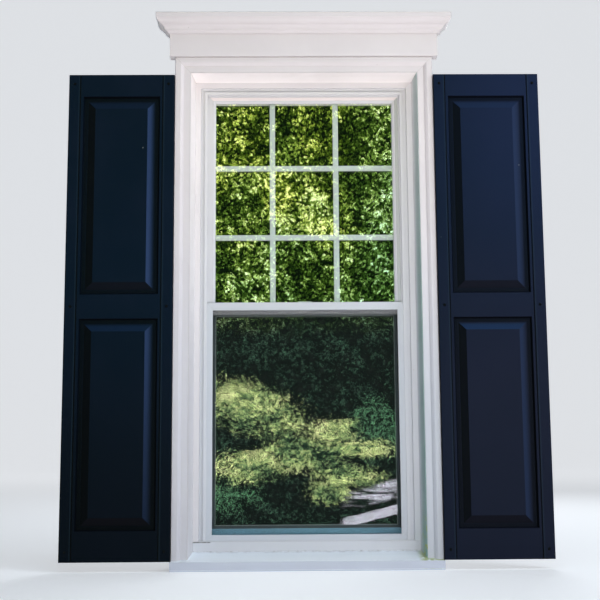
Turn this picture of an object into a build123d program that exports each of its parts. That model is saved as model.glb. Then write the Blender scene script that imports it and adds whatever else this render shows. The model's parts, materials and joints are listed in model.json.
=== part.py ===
from build123d import *
import os

os.makedirs("parts", exist_ok=True)

# A double-hung sash window with its outer jambs, casing, header, half screen and shutters.
# X runs across the window, Y into the wall (the weather side faces -Y) and Z up.
# The origin is on the centre line, under the sill, in the plane of the wall behind the casing.

# General clearances
SEAT_GAP = 0.3            # between pieces that are seated on each other
SLIDE_GAP = 1.0           # on each face of a sash in its track

# Vinyl window frame
FRAME_WIDTH = 762.0       # over the jamb members
FRAME_HEIGHT = 1666.0     # from the sill seat to the top of the head member
FRAME_SETBACK = 58.0      # from the wall plane back to the frame's outer face
LIP = 2.5                 # thickness of the lip in front of the screen
SCREEN_SLOT = 9.0         # depth of the screen channel
FIN = 2.5                 # thickness of the fin behind the screen and of the inner rib
SASH_TRACK = 34.0         # depth of each sash track
PARTING_RIB = 5.0         # thickness of the rib between the two tracks
LIP_REACH = 31.0          # from the frame's outer edge to the tip of the lip
SCREEN_FLOOR = 28.0       # to the floor of the screen channel
FIN_REACH = 36.5          # to the tip of the fin
RIB_REACH = 26.8          # to the tips of the parting rib and the inner rib
TRACK_FLOOR = 21.0        # to the floor of the sash tracks
GROOVE_NEAR = 6.0         # accessory groove in the frame's face, from the outer edge
GROOVE_FAR = 20.0
GROOVE_DEPTH = 8.0
VINYL_WALL = 2.0
POCKET_SLOT = 11.0        # opening of a balance pocket
POCKET_WIDTH = 25.0
POCKET_DEPTH = 14.5

# Outside sill and the frame's own sill
SILL_SEAT = 54.6          # height of the level seat that carries the frame
SILL_FRONT = 31.6         # height of the sill's front face
SILL_PROJECTION = 42.0    # from the wall plane to the front face
SILL_HORN = 2.8           # how far a horn passes the casing
HEM_HEIGHT = 3.6
HEM_PROUD = 1.4
KERF = 5.0
SCREEN_LEDGE = 34.4       # from the seat up to the ledge under the screen
LEDGE_LIP = 2.0
DAM_OUTER = 39.0          # from the seat up to the fin behind the screen
TRACK_RISE = 43.0         # from the seat up to the sill under the lower sash
DAM_INNER = 58.0          # from the seat up to the inner dam
COVER_THICKNESS = 2.7

# Outer jambs
JAMB_THICKNESS = 46.0
STOP_LAP = 6.2            # how far the stop laps over the frame
STOP_THICKNESS = 3.0
STOP_WIDTH = 20.2         # width of the flat stop face
REVEAL_SPLAY = 13.2       # sideways slope of the reveal, from the stop to the casing
REVEAL_NOSE = 2.8         # flat nose beside the casing
NOSE_SETBACK = 2.0        # nose behind the casing's inner flat
WALL_RABBET = 1.5         # rabbet in the casing's back over the jamb
FIXING_HOLE = 5.0         # diameter of the holes for the wall screws
FIXING_SPACING = 600.0
FIXING_COUNT = 3
FIXING_DEPTH_PLACE = 102.0   # from the wall plane

# Casing
CASING_WIDTH = 53.0
CASING_THICK = 32.0       # at the outer edge
CASING_THIN = 22.0        # at the inner edge
CASING_INNER_FLAT = 22.0
CASING_COVE = 9.5

# Header
HEADER_OVERHANG = 19.3    # past the casing at each end
HEADER_THICKNESS = 40.0
FRIEZE_HEIGHT = 83.0      # part of the header board that shows under the crown
CROWN_HEIGHT = 61.0
CROWN_PROJECTION = 46.0
CROWN_TOP_FILLET = 15.0
CAP_THICKNESS = 4.0
CAP_OVERHANG = 1.0

# Sashes
SASH_SIDE_GAP = 7.0       # from the track floor to the sash
SASH_THICKNESS = SASH_TRACK - 2 * SLIDE_GAP
SASH_FACE = 30.0          # width of a stile or top rail
MEETING_FACE = 38.0       # height of the meeting rails
MEETING_RISE = 13.4       # of their middle above the frame's middle, which makes the panes alike
BOTTOM_FACE = 40.0        # height of the lower sash's bottom rail
BEAD_FACE = 10.0
BEAD_DEPTH = 8.0
GLASS_BITE = 12.0         # how far the glass goes into its rebate
PANE = 3.0
AIR_SPACE = 12.0
PILE_DEPTH = 2.0
PILE_WIDTH = 4.0
SPACER_WIDTH = 6.5
LIFT_PROJECTION = 11.0
LIFT_HEIGHT = 6.0
LIFT_DROP = 8.0           # from the daylight edge down to the lift
LIFT_HALF = 250.0         # half its length

# Grille between the panes
GRILLE_BAR = 19.6
GRILLE_THICKNESS = 5.0
GRILLE_CHAMFER = 1.0
GRILLE_COLUMN = 231.0     # spacing of the upright bars
GRILLE_ROW = 257.0        # spacing of the level bars

# Screen
SCREEN_BAR = 8.0          # thickness of the bars
SCREEN_SIDE = 22.0
SCREEN_TOP_FACE = 27.5
SCREEN_BOTTOM_FACE = 21.5
SCREEN_RISE = 3.0         # of the screen's upper edge above the meeting rails
SCREEN_PLAY = 1.5         # between the screen and its channel's floor
SCREEN_WALL = 1.2
MESH_THICKNESS = 0.3
MESH_LAP = 2.7            # of the mesh over the bars' backs
SPLINE = 3.8              # across the ribs of the cord in the groove
SPLINE_GROOVE = 4.4
SPLINE_LINE = 5.2         # from a bar's inner edge to the middle of the groove
SPLINE_DEPTH = 4.6
KEY_LEG = 55.0
SPRING_LENGTH = 70.0
SPRING_THICKNESS = 0.5
SPRING_INSET = 190.0      # from the screen's opening to a spring's middle

# Lock on the meeting rails
LOCK_LENGTH = 66.0
LOCK_WIDTH = 20.0
LOCK_PLATE = 1.4
LOCK_COVER = 1.8
SPINDLE = 9.0
LOCK_HUB = 6.3            # radius of the hub on the cam
LOCK_TONGUE = 5.2         # thickness of the cam tongue
LOCK_REACH = 23.5         # from the pivot to the tongue's tip
TONGUE_WIDTH = 8.0
LOCK_SETBACK = 12.0       # from the lower sash's outer face to the pivot
LEVER_LENGTH = 34.0
LEVER_WIDTH = 9.0
LEVER_THICKNESS = 4.0
KEEPER_HALF = 24.0
KEEPER_HEIGHT = 11.0
KEEPER_TOP = 2.2

# Tilt latches
LATCH_LENGTH = 58.0
LATCH_WIDTH = 12.0
LATCH_DEPTH = 7.0
LATCH_THROW = 9.0
LATCH_NOSE = 6.4          # how far the nose stands out of the sash

LATCH_LINE = 22.0         # from a sash's outer face to the latch's middle
THUMB_WIDTH = 14.0
THUMB_DEPTH = 2.5

# Hooked strips between the meeting rails
HOOK_HEIGHT = 18.0        # from the underside of the meeting rails
HOOK_REACH = 5.2
HOOK_WALL = 1.3
HOOK_LEG = 8.0
HOOK_BASE = 6.0
HOOK_PLAY = 1.0           # between the engaged hooks, up and down
HOOK_END = 18.0           # past the daylight edge at each end

# Balances
PIVOT_BAR = 8.0           # height and width of the bar's section
PIVOT_HEIGHT = 9.0        # from a sash's underside to the bar's middle
PIVOT_LENGTH = 34.0       # of the bar inside the sash
SHOE_HEIGHT = 48.0
COIL_RADIUS = 11.0
COIL_WIDTH = 12.0
STRIP_WIDTH = 10.0
LOWER_COIL_RISE = 10.0    # above the top of the meeting rails
UPPER_COIL_RISE = 120.0
STRIP = 0.8

# Shutters
SHUTTER_WIDTH = 374.7
SHUTTER_TOP_DROP = 69.8   # from the casing's top down to the shutters
SHUTTER_FOOT_GAP = 1.4    # from the sill's front edge up to the shutters
SHUTTER_THICKNESS = 30.0
SHUTTER_SETOUT = 14.0     # from the wall plane to the shutter's back
STILE_WIDTH = 41.0
RAIL_STEP = 1.5           # how far the stiles stand proud of the rails
PANEL_SIDE = 51.0         # from the shutter's edge to a panel opening
SHUTTER_TOP_RAIL = 80.0
SHUTTER_MID_RAIL = 84.0
MID_RAIL_DROP = 3.0       # of its middle below the middle of the meeting rails
SHUTTER_BOTTOM_RAIL = 102.0
PANEL_COVE = 5.0
PANEL_GROUND = 13.0
PANEL_BEVEL = 26.0
PANEL_DEPTH = 9.0
FIELD_RISE = 6.5
SHUTTER_WALL = 3.0
SHUTTER_EDGE_RADIUS = 2.0
SHUTTER_RIBS = 7
RIB_THICKNESS = 2.5
SCREW_PAD = 12.0          # side of the square pad behind a screw
SCREW_SHANK = 4.6
SCREW_HEAD = 9.6
SCREW_HEAD_HEIGHT = 2.4
SCREW_LENGTH = 56.0
SCREW_INSET = 21.0        # from the shutter's edge
SCREW_TOP_INSET = 34.0

# Places that follow from the sizes above
frame_edge = FRAME_WIDTH / 2
frame_top = SILL_SEAT + FRAME_HEIGHT
frame_front = FRAME_SETBACK
screen_slot_front = frame_front + LIP
fin_front = screen_slot_front + SCREEN_SLOT
upper_track = fin_front + FIN
parting_front = upper_track + SASH_TRACK
lower_track = parting_front + PARTING_RIB
rib_front = lower_track + SASH_TRACK
frame_back = rib_front + FIN
upper_face = upper_track + SLIDE_GAP
lower_face = lower_track + SLIDE_GAP
track_middle = SASH_TRACK / 2

sash_edge = frame_edge - TRACK_FLOOR - SASH_SIDE_GAP
daylight_edge = sash_edge - SASH_FACE
upper_top = frame_top - TRACK_FLOOR - SASH_SIDE_GAP
meeting_bottom = SILL_SEAT + FRAME_HEIGHT / 2 + MEETING_RISE - MEETING_FACE / 2
meeting_top = meeting_bottom + MEETING_FACE
lower_bottom = SILL_SEAT + TRACK_RISE + SEAT_GAP

jamb_inner = frame_edge + SEAT_GAP
jamb_outer = jamb_inner + JAMB_THICKNESS
stop_tip = frame_edge - STOP_LAP
reveal_back = stop_tip + STOP_WIDTH
casing_inner = reveal_back + REVEAL_SPLAY
casing_outer = casing_inner + CASING_WIDTH
above_frame = frame_top - frame_edge      # height of a head piece less its half width at the sides
casing_top = casing_outer + above_frame
stop_front = frame_front - STOP_THICKNESS
sill_half = casing_outer + SILL_HORN
header_half = casing_outer + HEADER_OVERHANG
header_bottom = casing_top + SEAT_GAP
crown_bottom = header_bottom + FRIEZE_HEIGHT
crown_top = crown_bottom + CROWN_HEIGHT


def side_plane(edge, height, face=0):
    """Plane of a section of an upright piece: local x runs away from the window's middle."""
    return Plane(origin=(edge, face, height), x_dir=(1, 0, 0), z_dir=(0, 0, 1))


def cross_plane(half_length, height, face=0, up=1):
    """Plane of a section of a level piece: local x runs up, or down with up=-1, local y into the wall."""
    return Plane(origin=(up * half_length, face, height), x_dir=(0, 0, up), z_dir=(-up, 0, 0))


def mitre(inner, outer, keep):
    """Cut the piece in hand through an inner and an outer corner, each (x, z), and keep one side."""
    along = Vector(outer[0] - inner[0], 0, outer[1] - inner[1])
    normal = along.cross(Vector(0, 1, 0))
    if normal.dot(Vector(keep[0] - inner[0], 0, keep[1] - inner[1])) < 0:
        normal = -normal
    split(bisect_by=Plane(origin=(inner[0], 0, inner[1]), z_dir=normal), keep=Keep.TOP)


def frame_mitre(keep, side=1):
    """Cut a jamb, casing or frame member at 45 degrees at a top corner."""
    mitre((side * frame_edge, frame_top), (side * (frame_edge + 1), frame_top + 1), keep)


def save(piece, label):
    """Name a finished piece and write it."""
    piece.part.label = label
    export_step(piece.part, f"parts/{label}.step")


def save_pair(piece, label):
    """Write a right-hand piece and its left-hand mirror image."""
    with BuildPart() as image:
        add(piece.part)
        mirror(about=Plane.YZ, mode=Mode.REPLACE)
    save(piece, f"{label}_right")
    save(image, f"{label}_left")


def save_both(piece, label):
    """Write a piece and its mirror image as one node of two solids."""
    with BuildPart() as both:
        add(piece.part)
        mirror(about=Plane.YZ)
    save(both, label)


def block(x, y, z, mode=Mode.ADD):
    """A block from three (low, high) pairs."""
    size = [high - low for low, high in (x, y, z)]
    middle = [(low + high) / 2 for low, high in (x, y, z)]
    with Locations(tuple(middle)):
        Box(*size, mode=mode)


# Outside sill
def sill_top_at(y):
    """Height of the sill's upper surface at a distance from the wall plane."""
    slope = (SILL_SEAT - SILL_FRONT) / (SILL_PROJECTION + stop_front)
    return min(SILL_SEAT, SILL_FRONT + (y + SILL_PROJECTION) * slope)


def cut_below_sill(half_length):
    """Remove from the piece in hand all that lies under the sloping sill top."""
    reach = 2 * SILL_PROJECTION
    with BuildSketch(cross_plane(half_length, 0)) as below:
        Polygon((-reach, -reach), (sill_top_at(-reach), -reach), (SILL_SEAT, stop_front),
                (SILL_SEAT, frame_back + reach), (-reach, frame_back + reach), align=None)
    extrude(below.sketch, amount=2 * half_length, mode=Mode.SUBTRACT)


with BuildPart() as sill:
    with BuildSketch(cross_plane(sill_half, 0)):
        Polygon((0, -SILL_PROJECTION), (SILL_FRONT, -SILL_PROJECTION), (SILL_SEAT, stop_front),
                (SILL_SEAT, frame_back), (0, frame_back), align=None)
        Polygon((0, -SILL_PROJECTION - HEM_PROUD), (HEM_HEIGHT, -SILL_PROJECTION - HEM_PROUD),
                (HEM_HEIGHT + HEM_PROUD, -SILL_PROJECTION), (0, -SILL_PROJECTION), align=None)
    extrude(amount=2 * sill_half)
    for side in (-1, 1):
        beside_jamb = sorted((side * jamb_outer, side * (sill_half + 1)))
        block(beside_jamb, (0, frame_back + 1), (-1, SILL_SEAT + 1), Mode.SUBTRACT)
        horn = sorted((side * casing_outer, side * (sill_half + 1)))
        block(horn, (-SILL_PROJECTION, frame_back), (SILL_FRONT, SILL_SEAT + 1), Mode.SUBTRACT)
    kerf_front = KERF * 2 - SILL_PROJECTION
    block((-sill_half - 1, sill_half + 1), (kerf_front, kerf_front + KERF), (-1, KERF), Mode.SUBTRACT)
save(sill, "sill")


# Outer jambs with the splayed reveal and the stop
def jamb_section():
    """Section of an outer jamb; local x is measured from the frame's outer edge."""
    nose_front = NOSE_SETBACK - CASING_THIN
    casing_side = casing_inner - frame_edge
    Polygon(
        (casing_side - SEAT_GAP, nose_front),
        (casing_side - REVEAL_NOSE, nose_front),
        (reveal_back - frame_edge, stop_front),
        (-STOP_LAP, stop_front),
        (-STOP_LAP, frame_front - SEAT_GAP),
        (SEAT_GAP, frame_front - SEAT_GAP),
        (SEAT_GAP, frame_back),
        (SEAT_GAP + JAMB_THICKNESS, frame_back),
        (SEAT_GAP + JAMB_THICKNESS, -WALL_RABBET),
        (casing_side - SEAT_GAP, -WALL_RABBET),
        align=None,
    )


with BuildPart() as jamb:
    with BuildSketch(side_plane(frame_edge, 0)):
        jamb_section()
    extrude(amount=frame_top + JAMB_THICKNESS + CASING_WIDTH)
    frame_mitre(keep=(frame_edge, 0))
    cut_below_sill(sill_half + CASING_WIDTH)
    cover_top = SILL_SEAT + SCREEN_LEDGE
    block((stop_tip - 1, reveal_back), (stop_front - SEAT_GAP, frame_front), (0, cover_top), Mode.SUBTRACT)
    fixing_middle = (frame_top + SILL_SEAT) / 2
    with Locations(Plane(origin=(jamb_outer, FIXING_DEPTH_PLACE, fixing_middle), z_dir=(1, 0, 0))):
        with GridLocations(FIXING_SPACING, FIXING_SPACING, FIXING_COUNT, 1):
            Hole(FIXING_HOLE / 2)
save_pair(jamb, "jamb")

with BuildPart() as jamb_head:
    with BuildSketch(cross_plane(casing_outer, frame_top)):
        jamb_section()
    extrude(amount=2 * casing_outer)
    for side in (-1, 1):
        frame_mitre((0, frame_top), side)
save(jamb_head, "jamb_head")


# Casing
def casing_section():
    """Section of the casing; local x is measured from its inner edge."""
    lap = jamb_outer - casing_inner + SEAT_GAP
    step = CASING_INNER_FLAT + CASING_COVE
    with BuildLine() as outline:
        Polyline((0, -WALL_RABBET), (0, -CASING_THIN), (CASING_INNER_FLAT, -CASING_THIN))
        RadiusArc((CASING_INNER_FLAT, -CASING_THIN), (step, 1 - CASING_THICK), -2.2 * CASING_COVE)
        Polyline((step, 1 - CASING_THICK), (step + 1, -CASING_THICK), (CASING_WIDTH - 2, -CASING_THICK),
                 (CASING_WIDTH, 2 - CASING_THICK), (CASING_WIDTH, 0), (lap, 0), (lap, -WALL_RABBET),
                 (0, -WALL_RABBET))
    make_face(outline.edges())


with BuildPart() as casing:
    with BuildSketch(side_plane(casing_inner, 0)):
        casing_section()
    extrude(amount=casing_top + CASING_WIDTH)
    frame_mitre(keep=(frame_edge, 0))
    cut_below_sill(sill_half + CASING_WIDTH)
save_pair(casing, "casing")

with BuildPart() as casing_head:
    with BuildSketch(cross_plane(casing_outer, casing_inner + above_frame)):
        casing_section()
    extrude(amount=2 * casing_outer)
    for side in (-1, 1):
        frame_mitre((0, frame_top), side)
save(casing_head, "casing_head")

# Header board
with BuildPart() as header_board:
    block((-header_half, header_half), (-HEADER_THICKNESS, 0), (header_bottom, crown_top))
    low_front = header_board.edges().filter_by(Axis.X).group_by(Axis.Z)[0].sort_by(Axis.Y)[0]
    chamfer(low_front, length=1)
save(header_board, "header_board")


# Crown moulding: local x runs out from the header board, local y up
def crown_section():
    """Section of the crown, stepped by small fillets between its curves."""
    fillet_step = 1.6
    foot = (6.0, 0.0)
    first = (15.0, 10.0)
    second = (27.0, 25.0)
    third = (CROWN_PROJECTION - 2, CROWN_HEIGHT - CROWN_TOP_FILLET - fillet_step)
    with BuildLine() as outline:
        Polyline((0, 0), foot, (foot[0], foot[1] + fillet_step))
        RadiusArc((foot[0], foot[1] + fillet_step), first, 16)
        Polyline(first, (first[0] + fillet_step, first[1]), (first[0] + fillet_step, first[1] + fillet_step))
        RadiusArc((first[0] + fillet_step, first[1] + fillet_step), second, 22)
        Polyline(second, (second[0] + fillet_step, second[1]),
                 (second[0] + fillet_step, second[1] + fillet_step))
        RadiusArc((second[0] + fillet_step, second[1] + fillet_step), third, -26)
        Polyline(third, (CROWN_PROJECTION, third[1] + fillet_step), (CROWN_PROJECTION, CROWN_HEIGHT),
                 (0, CROWN_HEIGHT), (0, 0))
    make_face(outline.edges())


crown_corner = Plane(origin=(header_half, -HEADER_THICKNESS, 0), z_dir=(1, 1, 0))
with BuildPart() as crown_front:
    front_plane = Plane(origin=(header_half + CROWN_PROJECTION, -HEADER_THICKNESS, crown_bottom),
                        x_dir=(0, -1, 0), z_dir=(-1, 0, 0))
    with BuildSketch(front_plane):
        crown_section()
    extrude(amount=2 * (header_half + CROWN_PROJECTION))
    split(bisect_by=crown_corner, keep=Keep.BOTTOM)
    split(bisect_by=Plane(origin=(-header_half, -HEADER_THICKNESS, 0), z_dir=(-1, 1, 0)), keep=Keep.BOTTOM)
save(crown_front, "crown_front")

with BuildPart() as crown_return:
    return_plane = Plane(origin=(header_half, 0, crown_bottom), x_dir=(1, 0, 0), z_dir=(0, -1, 0))
    with BuildSketch(return_plane):
        crown_section()
    extrude(amount=HEADER_THICKNESS + CROWN_PROJECTION)
    split(bisect_by=crown_corner, keep=Keep.TOP)
save_pair(crown_return, "crown")

with BuildPart() as crown_cap:
    cap_half = header_half + CROWN_PROJECTION + CAP_OVERHANG
    cap_front = HEADER_THICKNESS + CROWN_PROJECTION + CAP_OVERHANG
    block((-cap_half, cap_half), (-cap_front, 0), (crown_top, crown_top + CAP_THICKNESS))
    cap_edges = crown_cap.edges().filter_by(Axis.X).group_by(Axis.Z)[-1].sort_by(Axis.Y)[0]
    chamfer(cap_edges, length=CAP_THICKNESS / 2)
save(crown_cap, "crown_cap")


# Vinyl window frame
def frame_section():
    """Section of a jamb or head member; local x is measured from its outer edge, inwards is negative."""
    Polygon(
        (0, frame_front),
        (-GROOVE_NEAR, frame_front),
        (-GROOVE_NEAR, frame_front + GROOVE_DEPTH),
        (-GROOVE_FAR, frame_front + GROOVE_DEPTH),
        (-GROOVE_FAR, frame_front),
        (-LIP_REACH, frame_front),
        (-LIP_REACH, screen_slot_front),
        (-SCREEN_FLOOR, screen_slot_front),
        (-SCREEN_FLOOR, fin_front),
        (-FIN_REACH, fin_front),
        (-FIN_REACH, upper_track),
        (-TRACK_FLOOR, upper_track),
        (-TRACK_FLOOR, parting_front),
        (-RIB_REACH, parting_front),
        (-RIB_REACH, lower_track),
        (-TRACK_FLOOR, lower_track),
        (-TRACK_FLOOR, rib_front),
        (-RIB_REACH, rib_front),
        (-RIB_REACH, frame_back),
        (0, frame_back),
        align=None,
    )


def balance_pockets():
    """Cut the slot and the pocket behind each track's floor."""
    for track in (upper_track, lower_track):
        middle = track + track_middle
        slot_middle = -TRACK_FLOOR + VINYL_WALL / 2
        pocket_middle = -TRACK_FLOOR + VINYL_WALL + POCKET_DEPTH / 2
        with Locations((slot_middle, middle)):
            Rectangle(VINYL_WALL * 1.5, POCKET_SLOT, mode=Mode.SUBTRACT)
        with Locations((pocket_middle, middle)):
            Rectangle(POCKET_DEPTH, POCKET_WIDTH, mode=Mode.SUBTRACT)


def sill_member_outline():
    """Outline of the frame's sill; local x is up from the seat, local y into the wall."""
    return [
        (SEAT_GAP, frame_front),
        (SCREEN_LEDGE + LEDGE_LIP, frame_front),
        (SCREEN_LEDGE + LEDGE_LIP, frame_front + LIP),
        (SCREEN_LEDGE, frame_front + LIP),
        (SCREEN_LEDGE, fin_front),
        (DAM_OUTER, fin_front),
        (DAM_OUTER, upper_track),
        (SCREEN_LEDGE + LEDGE_LIP, upper_track),
        (TRACK_RISE - 2 * LEDGE_LIP, parting_front),
        (TRACK_RISE - LEDGE_LIP, lower_track),
        (TRACK_RISE, lower_face),
        (TRACK_RISE, rib_front),
        (DAM_INNER, rib_front),
        (DAM_INNER, frame_back),
        (SEAT_GAP, frame_back),
    ]


with BuildPart() as frame_sill:
    with BuildSketch(cross_plane(frame_edge, SILL_SEAT)):
        Polygon(*sill_member_outline(), align=None)
        chamber_top = SCREEN_LEDGE - VINYL_WALL
        chamber_low = SEAT_GAP + VINYL_WALL
        for chamber_front, chamber_back in ((frame_front, fin_front), (fin_front, parting_front),
                                            (parting_front, frame_back)):
            with Locations(((chamber_low + chamber_top) / 2, (chamber_front + chamber_back) / 2)):
                Rectangle(chamber_top - chamber_low, chamber_back - chamber_front - 2 * VINYL_WALL,
                          mode=Mode.SUBTRACT)
    extrude(amount=FRAME_WIDTH)
save(frame_sill, "frame_sill")

with BuildPart() as frame_jamb:
    with BuildSketch(side_plane(frame_edge, SILL_SEAT + SEAT_GAP)):
        frame_section()
        balance_pockets()
    extrude(amount=FRAME_HEIGHT)
    frame_mitre(keep=(frame_edge, 0))
    with BuildSketch(cross_plane(frame_edge + 1, SILL_SEAT)):
        Polygon(*sill_member_outline(), align=None)
    extrude(amount=FRAME_WIDTH + 2, mode=Mode.SUBTRACT)
save_pair(frame_jamb, "frame")

with BuildPart() as frame_head:
    with BuildSketch(cross_plane(frame_edge, frame_top)):
        frame_section()
    extrude(amount=FRAME_WIDTH)
    for side in (-1, 1):
        frame_mitre((0, frame_top), side)
save(frame_head, "frame_head")

with BuildPart() as sill_cover:
    cover_half = reveal_back - SEAT_GAP
    block((-cover_half, cover_half), (stop_front, stop_front + COVER_THICKNESS),
          (SILL_SEAT + SEAT_GAP, SILL_SEAT + SCREEN_LEDGE - 2 * SEAT_GAP))
    cover_edge = sill_cover.edges().filter_by(Axis.X).group_by(Axis.Z)[-1].sort_by(Axis.Y)[0]
    fillet(cover_edge, radius=1)
save(sill_cover, "sill_cover")


# Rings of mitred bars
def ring_bars(draw_side, draw_rail, half_width, low, high, face, widths):
    """Right, top and bottom bars around an opening; widths are theirs in that order."""
    side_width, top_width, low_width = widths
    middle = (low + high) / 2
    outer_edge = half_width + side_width
    top_corner = ((half_width, high), (outer_edge, high + top_width))
    low_corner = ((half_width, low), (outer_edge, low - low_width))
    with BuildPart() as right_bar:
        with BuildSketch(side_plane(half_width, low - low_width, face)):
            draw_side(side_width)
        extrude(amount=high - low + top_width + low_width)
        mitre(*top_corner, keep=(outer_edge, middle))
        mitre(*low_corner, keep=(outer_edge, middle))
    level_bars = []
    for up, edge, width, corner in ((1, high, top_width, top_corner), (-1, low, low_width, low_corner)):
        with BuildPart() as level_bar:
            with BuildSketch(cross_plane(outer_edge, edge, face, up)):
                draw_rail(width)
            extrude(amount=2 * outer_edge)
            mitre(*corner, keep=(0, edge + up * width))
            mitre(*[(-x, z) for x, z in corner], keep=(0, edge + up * width))
        level_bars.append(level_bar)
    return right_bar, level_bars[0], level_bars[1]


def save_ring(bars, label):
    """Write a whole ring of bars as one node of four separate solids."""
    solids = [bar.part.solid() for bar in bars]
    solids.append(solids[0].mirror(Plane.YZ))
    ring = Compound(children=solids, label=label)
    export_step(ring, f"parts/{label}.step")


# Sashes: local x of a section runs out from the daylight edge, local y in from the sash's outer face
glass_front = BEAD_DEPTH
glass_back = BEAD_DEPTH + 2 * PANE + AIR_SPACE
rebate = GLASS_BITE + SLIDE_GAP
rebate_front = glass_front - SEAT_GAP
rebate_back = glass_back + SEAT_GAP
pile_lines = (1.5 * PILE_WIDTH, SASH_THICKNESS - 1.5 * PILE_WIDTH)


def sash_outline(width, chamber_end):
    """Hollow section of a stile or rail with its glazing rebate."""
    Polygon((width, 0), (BEAD_FACE, 0), (BEAD_FACE, rebate_front), (rebate, rebate_front),
            (rebate, rebate_back), (0, rebate_back), (0, SASH_THICKNESS - 1), (1, SASH_THICKNESS),
            (width, SASH_THICKNESS), align=None)
    chamber_start = rebate + VINYL_WALL
    with Locations(((chamber_start + chamber_end) / 2, SASH_THICKNESS / 2)):
        Rectangle(chamber_end - chamber_start, SASH_THICKNESS - 2 * VINYL_WALL, mode=Mode.SUBTRACT)


def stile_section(width):
    """Section of a stile, with two pile grooves along its edge."""
    sash_outline(width, width - PILE_DEPTH - VINYL_WALL)
    for line in pile_lines:
        with Locations((width, line)):
            Rectangle(2 * PILE_DEPTH, PILE_WIDTH, mode=Mode.SUBTRACT)


def rail_section(width):
    """Section of a rail, with a thick outer wall that takes the latches."""
    sash_outline(width, width - LATCH_DEPTH - VINYL_WALL)


def bead_section(width):
    """Bevelled glazing bead in front of the glass."""
    back = glass_front - SEAT_GAP
    Polygon((0, back), (0, back - 1.2), (width - 3.5, 1), (width - SEAT_GAP, 1),
            (width - SEAT_GAP, back), align=None)


def latch_slots(face, top):
    """Cut the two slots for the tilt latches into the top of a sash."""
    middle = face + LATCH_LINE
    run = LATCH_LENGTH + LATCH_THROW - LATCH_NOSE + SLIDE_GAP
    half = LATCH_WIDTH / 2 + SEAT_GAP
    floor = top - LATCH_DEPTH - 2 * SEAT_GAP
    for side in (-1, 1):
        slot = sorted((side * (sash_edge - run), side * (sash_edge + 1)))
        block(slot, (middle - half, middle + half), (floor, top + 1), Mode.SUBTRACT)


def pivot_sockets(face, bottom):
    """Cut the two sockets for the pivot bars near the bottom of a sash."""
    half = PIVOT_BAR / 2 + SEAT_GAP
    middle = face + SASH_THICKNESS / 2
    height = bottom + PIVOT_HEIGHT
    for side in (-1, 1):
        socket = sorted((side * (sash_edge - PIVOT_LENGTH), side * (sash_edge + 1)))
        block(socket, (middle - half, middle + half), (height - half, height + half), Mode.SUBTRACT)


def sash_bars(face, bottom, bottom_face, top, top_face):
    """Stile, top rail and bottom rail of a sash, with latch slots and pivot sockets."""
    bars = ring_bars(stile_section, rail_section, daylight_edge, bottom + bottom_face, top - top_face,
                     face, (SASH_FACE, top_face, bottom_face))
    cut_bars = []
    for bar in bars:
        with BuildPart() as cut_bar:
            add(bar.part)
            latch_slots(face, top)
            pivot_sockets(face, bottom)
        cut_bars.append(cut_bar)
    return cut_bars


def glazing(prefix, face, low, high):
    """Write the two panes, the spacer and the beads of one sash."""
    glass_half = daylight_edge + GLASS_BITE
    glass_z = (low - GLASS_BITE, high + GLASS_BITE)
    air_front = face + glass_front + PANE
    air_back = air_front + AIR_SPACE
    with BuildPart() as glass:
        block((-glass_half, glass_half), (air_front - PANE, air_front), glass_z)
        block((-glass_half, glass_half), (air_back, air_back + PANE), glass_z)
    save(glass, f"{prefix}_glass")

    spacer_plane = Plane(origin=(0, air_front, (low + high) / 2), x_dir=(1, 0, 0), z_dir=(0, -1, 0))
    width, height = 2 * glass_half - 2 * SLIDE_GAP, glass_z[1] - glass_z[0] - 2 * SLIDE_GAP
    with BuildPart() as spacer:
        with BuildSketch(spacer_plane):
            Rectangle(width, height)
            Rectangle(width - 2 * SPACER_WIDTH, height - 2 * SPACER_WIDTH, mode=Mode.SUBTRACT)
        extrude(amount=-AIR_SPACE)
    save(spacer, f"{prefix}_spacer")

    bead_widths = (BEAD_FACE, BEAD_FACE, BEAD_FACE)
    beads = ring_bars(bead_section, bead_section, daylight_edge, low, high, face, bead_widths)
    save_ring(beads, f"{prefix}_beads")


def interlock(label, face, height, inward):
    """Write the hooked strip on a meeting rail; inward is 1 on the upper sash and -1 on the lower."""
    hook = HOOK_WALL
    half = daylight_edge + HOOK_END
    with BuildPart() as strip:
        with BuildSketch(cross_plane(half, height, face, inward)):
            Polygon((-HOOK_BASE, 0), (hook, 0), (hook, inward * (HOOK_REACH - hook)),
                    (HOOK_LEG, inward * (HOOK_REACH - hook)), (HOOK_LEG, inward * HOOK_REACH),
                    (0, inward * HOOK_REACH), (0, inward * hook), (-HOOK_BASE, inward * hook), align=None)
        extrude(amount=2 * half)
    save(strip, label)


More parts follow.
